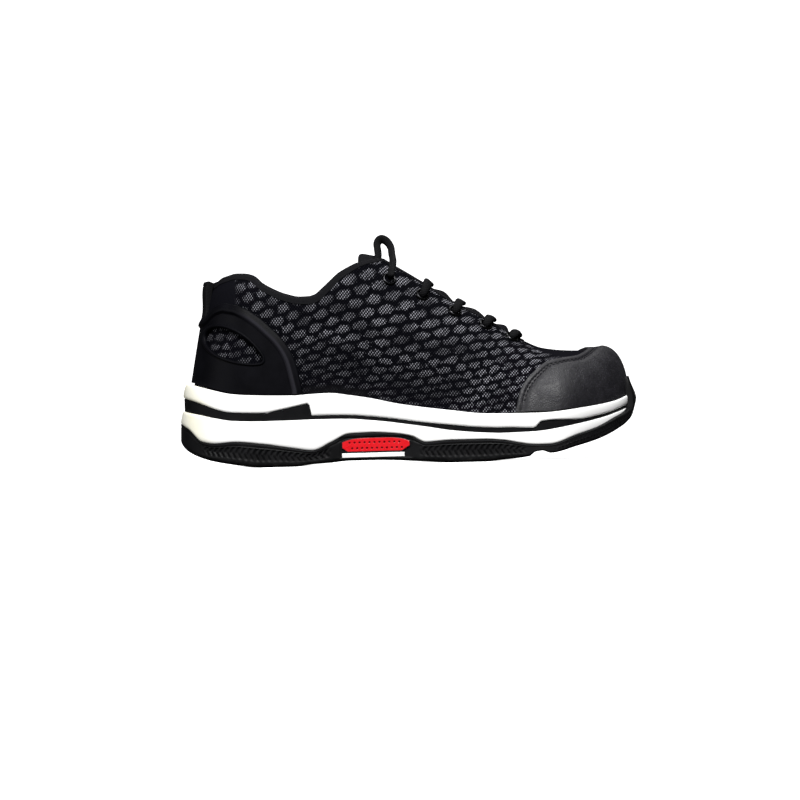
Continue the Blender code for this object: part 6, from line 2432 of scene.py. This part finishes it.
    def tread(self, rim: Array, first: int) -> tuple[Array, Array]:
        """The underside: strips across between matching rim points, with chevron lugs and flex grooves.

        Args:
            rim: The outsole's lowest loop.
            first: Number of the first new vertex.

        Returns:
            New vertices, and the faces.
        """
        count, half = len(rim), len(rim) // 2
        j = np.arange(1, half)
        outer, inner = rim[j][:, None], rim[count - j][:, None]
        t = np.linspace(0, 1, self.tread_columns + 1)[1:-1, None]
        points = outer * (1 - t) + inner * t
        x, y = points[..., 0], points[..., 1]
        share = self.sole.share_at(x)
        edge = np.minimum(*(np.linalg.norm(points - end, axis=-1) for end in (outer, inner)))
        inside = ramp(edge, 0.0050, 0.0075)
        lug_groove = ramp(np.cos(2 * math.pi * (x + 0.55 * np.abs(y)) / self.lug_pitch), 0.35, 0.75)
        waist = 1 - 0.75 * plateau(share, 0.30, 0.36, 0.50, 0.56)
        depth = 0.75 * self.groove_depth * lug_groove * inside * waist
        for place in self.grooves:
            away = np.abs(x - (place - 0.5) * self.sole.length) / self.groove_width
            groove = self.groove_depth * (1 - ramp(away, 0.35, 0.6)) * ramp(edge, 0.001, 0.003)
            depth = np.maximum(depth, groove)
        seam = 1 - ramp(np.abs(y - 0.1 * (outer + inner)[..., 1]), 0.0008, 0.0018)
        depth = np.maximum(depth, 0.6 * self.groove_depth * seam * inside)
        points[..., 2] = self.sole.level("ground", x) + depth
        grid = np.concatenate([j[:, None], numbered(*x.shape, first), (count - j)[:, None]], axis=1)
        ends = np.full((2, grid.shape[1] - 1), half), np.zeros((2, grid.shape[1] - 1), int)
        toe = np.stack([grid[-1, :-1], grid[-1, 1:], *ends[0]], axis=-1)
        heel = np.stack([grid[0, 1:], grid[0, :-1], *ends[1]], axis=-1)
        return joined(points), np.concatenate([Builder.quads(grid), toe, heel])[:, ::-1]


@dataclass
class ArchInserts(ShoePart):
    """The red insert in each side of the arch, with two rows of pin holes, and the white bar under it."""

    back: float = 0.353
    front: float = 0.501
    low: float = 0.0084
    high: float = 0.0178
    bar_low: float = 0.0048
    bar_high: float = 0.0078
    bar_front: float = 0.488
    proud: float = 0.0004
    depth: float = 0.0036
    pin_radius: float = 0.00066
    pin_rows: tuple = (0.0108, 0.0145)
    pins: int = 11

    def top(self, x: Array) -> Array:
        """Upper edge, a shallow arc with its ends drawn down."""
        t = (self.sole.share_at(x) - self.back) / (self.front - self.back)
        return self.high - 0.0028 * (2 * t - 1) ** 4

    def bottom(self, x: Array) -> Array:
        """Lower edge, raised towards the front end."""
        t = (self.sole.share_at(x) - self.back) / (self.front - self.back)
        return self.low + 0.0030 * ramp(t, 0.86, 1.0) + 0.0024 * (1 - ramp(t, 0.0, 0.1))

    def slab(
        self, name: str, side: Side, back: float, front: float, low: Height, high: Height,
        face_out: float, edge: float, depth: float, columns: int, rows: int,
        finish: bpy.types.Material, slot: str, node: str, dimples: bool,
    ) -> None:
        """A slab in the sole's side whose face rounds over at its border.

        Args:
            name: Name of the piece.
            side: Side of the shoe.
            back: Share of the length where it starts.
            front: Share of the length where it ends.
            low: Lower edge as a function of x.
            high: Upper edge as a function of x.
            face_out: How far its face stands proud of the outline.
            edge: Radius of its rounded border.
            depth: How deep it goes behind the outline.
            columns: Columns of its face.
            rows: Rows of its face.
            finish: Its material.
            slot: The record's material slot.
            node: The solid that it stands for.
            dimples: Whether its face has the pin holes.
        """
        sole = self.sole
        turns = sole.turns_between(np.linspace(back, front, columns))
        turns = turns if side is Side.OUTER else 1 - turns
        x = sole.plan(turns)[:, 0]
        t = np.linspace(0, 1, rows)[:, None]
        z = low(x) * (1 - t) + high(x) * t
        length = (x - x[0]) * np.ones_like(z)
        away = np.minimum(np.minimum(length, length[:, -1:] - length), np.minimum(z - low(x), high(x) - z))
        corner = 1 - np.clip(away / edge, 0, 1)
        lift = face_out - edge * (1 - np.sqrt(1 - corner**2))
        pins = np.zeros_like(z)
        if dimples:
            span = length[0, -1]
            for row, shift in zip(self.pin_rows, (0.0016, 0.0)):
                for n in range(self.pins):
                    centre = 0.0052 + shift + n * (span - 0.0090) / self.pins
                    gap = np.hypot(length - centre, z - row) / self.pin_radius
                    pins = np.maximum(pins, 1 - ramp(gap, 0.75, 1.25))
            lift = lift - 0.00055 * pins
        rim = 1 - ramp(away, 0.0002, 0.0007) if dimples else 0 * z
        turn_grid = np.broadcast_to(turns, z.shape)
        outer, inner = (
            np.concatenate([sole.inset(turn_grid, inward), z[..., None]], axis=-1)
            for inward in (-lift, depth)
        )
        index = numbered(*z.shape)
        flat = joined(outer, inner)
        faces = Builder.outward(flat - flat.mean(axis=0), Builder.shell_faces(Builder.quads(index), z.size))
        zone = vectors_of(pins, rim, 0.0)
        Builder.piece(name, flat, faces, finish, slot, (node,), {"zone": np.tile(zone, (2, 1))})

    def build(self) -> None:
        """Makes both inserts and both bars."""
        for side in Side:
            word = side.name.lower()
            self.slab(
                f"arch_insert_{word}_gloss", side, self.back, self.front, self.bottom, self.top,
                self.proud, 0.0007, self.depth, 300, 60, self.finishes.red, "red_insert",
                f"arch_insert_{word}", True,
            )
            self.slab(
                f"arch_bar_{word}_foam", side, self.back, self.bar_front,
                lambda x: np.full(np.shape(x), self.bar_low), lambda x: np.full(np.shape(x), self.bar_high),
                0.0001, 0.0004, 0.0016, 120, 16, self.finishes.foam, "white_foam", f"arch_bar_{word}", False,
            )


@dataclass
class Studio:
    """A level camera square to the outer side, a pale floor, and soft lights."""

    distance: float = 3.2
    span: float = 0.5257
    target: Triple = (-0.0055, 0.0, 0.0414)
    roll: float = math.radians(1.627)
    sensor: float = 36.0

    def camera(self) -> None:
        """The camera looks along +Y, rolled so that the shoe stands toe up as in the photograph."""
        data = bpy.data.cameras.new("studio_camera")
        data.sensor_width = self.sensor
        data.lens = self.sensor * self.distance / self.span
        data.clip_end = 20.0
        made = bpy.data.objects.new("studio_camera", data)
        c, s = math.cos(self.roll), math.sin(self.roll)
        right, up, back = (c, 0.0, -s), (s, 0.0, c), (0.0, -1.0, 0.0)
        turn = Matrix((right, up, back)).transposed().to_4x4()
        place = Matrix.Translation((self.target[0], self.target[1] - self.distance, self.target[2]))
        made.matrix_world = place @ turn
        bpy.context.scene.collection.objects.link(made)
        bpy.context.scene.camera = made

    def floor(self) -> None:
        """A wide pale floor that curves up into a backdrop behind the shoe."""
        bend = np.linspace(0.1, math.pi / 2, 14)
        depth = np.concatenate([np.linspace(-4.5, 1.6, 12), 1.6 + 0.9 * np.sin(bend), [2.5, 2.5]])
        rise = np.concatenate([np.zeros(12), 0.9 * (1 - np.cos(bend)), [2.0, 3.6]])
        y, x = np.meshgrid(depth, np.linspace(-4.5, 4.5, 10), indexing="ij")
        mesh = bpy.data.meshes.new("studio_floor")
        faces = Builder.quads(numbered(*y.shape))
        mesh.from_pydata(vectors_of(x, y, rise[:, None]).tolist(), [], faces.tolist())
        mesh.shade_smooth()
        s = Shader("studio_paper")
        tone = s.step(s.noise(s.here(), 3.0, 2.0), 0.3, 0.7, 0.0, 1.0)
        mesh.materials.append(s.finish(
            Base_Color=s.blend(tone, (0.90, 0.90, 0.90), (0.92, 0.92, 0.92)), Roughness=0.95,
            Specular_IOR_Level=0.0, Emission_Color=(1.0, 1.0, 1.0), Emission_Strength=0.95,
        ))
        made = bpy.data.objects.new("studio_floor", mesh)
        made.visible_glossy = False
        made.visible_diffuse = False
        bpy.context.scene.collection.objects.link(made)

    def lights(self) -> None:
        """A high key in front, a weak fill at the heel, a soft light overhead and a dim world."""
        lamps = (
            ("key_softbox", (0.15, -1.25, 1.45), 0.85, 66.0, 1.0),
            ("heel_fill", (-1.60, -0.90, 0.70), 0.90, 14.0, 0.0),
            ("top_softbox", (0.10, 0.45, 1.50), 0.80, 10.0, 0.6),
        )
        for name, place, size, power, shine in lamps:
            data = bpy.data.lights.new(name, "AREA")
            data.shape = "SQUARE"
            data.size = size
            data.energy = power
            data.specular_factor = shine
            made = bpy.data.objects.new(name, data)
            back = unit(np.array(place) - np.array([0.0, 0.0, 0.05]))
            right = unit(np.cross([0.0, 0.0, 1.0], back))
            up = np.cross(back, right)
            made.matrix_world = Matrix.Translation(place) @ Matrix((right, up, back)).transposed().to_4x4()
            bpy.context.scene.collection.objects.link(made)
        world = bpy.data.worlds.new("studio_world")
        world.use_nodes = True
        background = next(n for n in world.node_tree.nodes if n.type == "BACKGROUND")
        background.inputs["Color"].default_value = (1.0, 1.0, 1.0, 1.0)
        background.inputs["Strength"].default_value = 0.07
        bpy.context.scene.world = world
        bpy.context.scene.view_settings.view_transform = "Standard"

    def build(self) -> None:
        """Places everything that isn't the shoe."""
        self.camera()
        self.floor()
        self.lights()


def main() -> None:
    """Builds the studio and every piece in order."""
    logging.basicConfig(level=logging.INFO, format="%(message)s")
    Studio().build()
    finishes = Finishes()
    last = LastForm()
    eyelets = Eyelets(last, finishes)
    laces = Laces(last, finishes, eyelets)
    laces.build_loops()
    laces.build_bars()
    eyelets.build()
    Upper(last, finishes).build()
    ToeCap(last, finishes).build()
    HeelCounter(last, finishes).build()
    HeelTab(last, finishes).build()
    Tongue(last, finishes).build()
    Midsole(last, finishes).build()
    Outsole(last, finishes).build()
    ArchInserts(last, finishes).build()


if __name__ == "__main__":
    main()
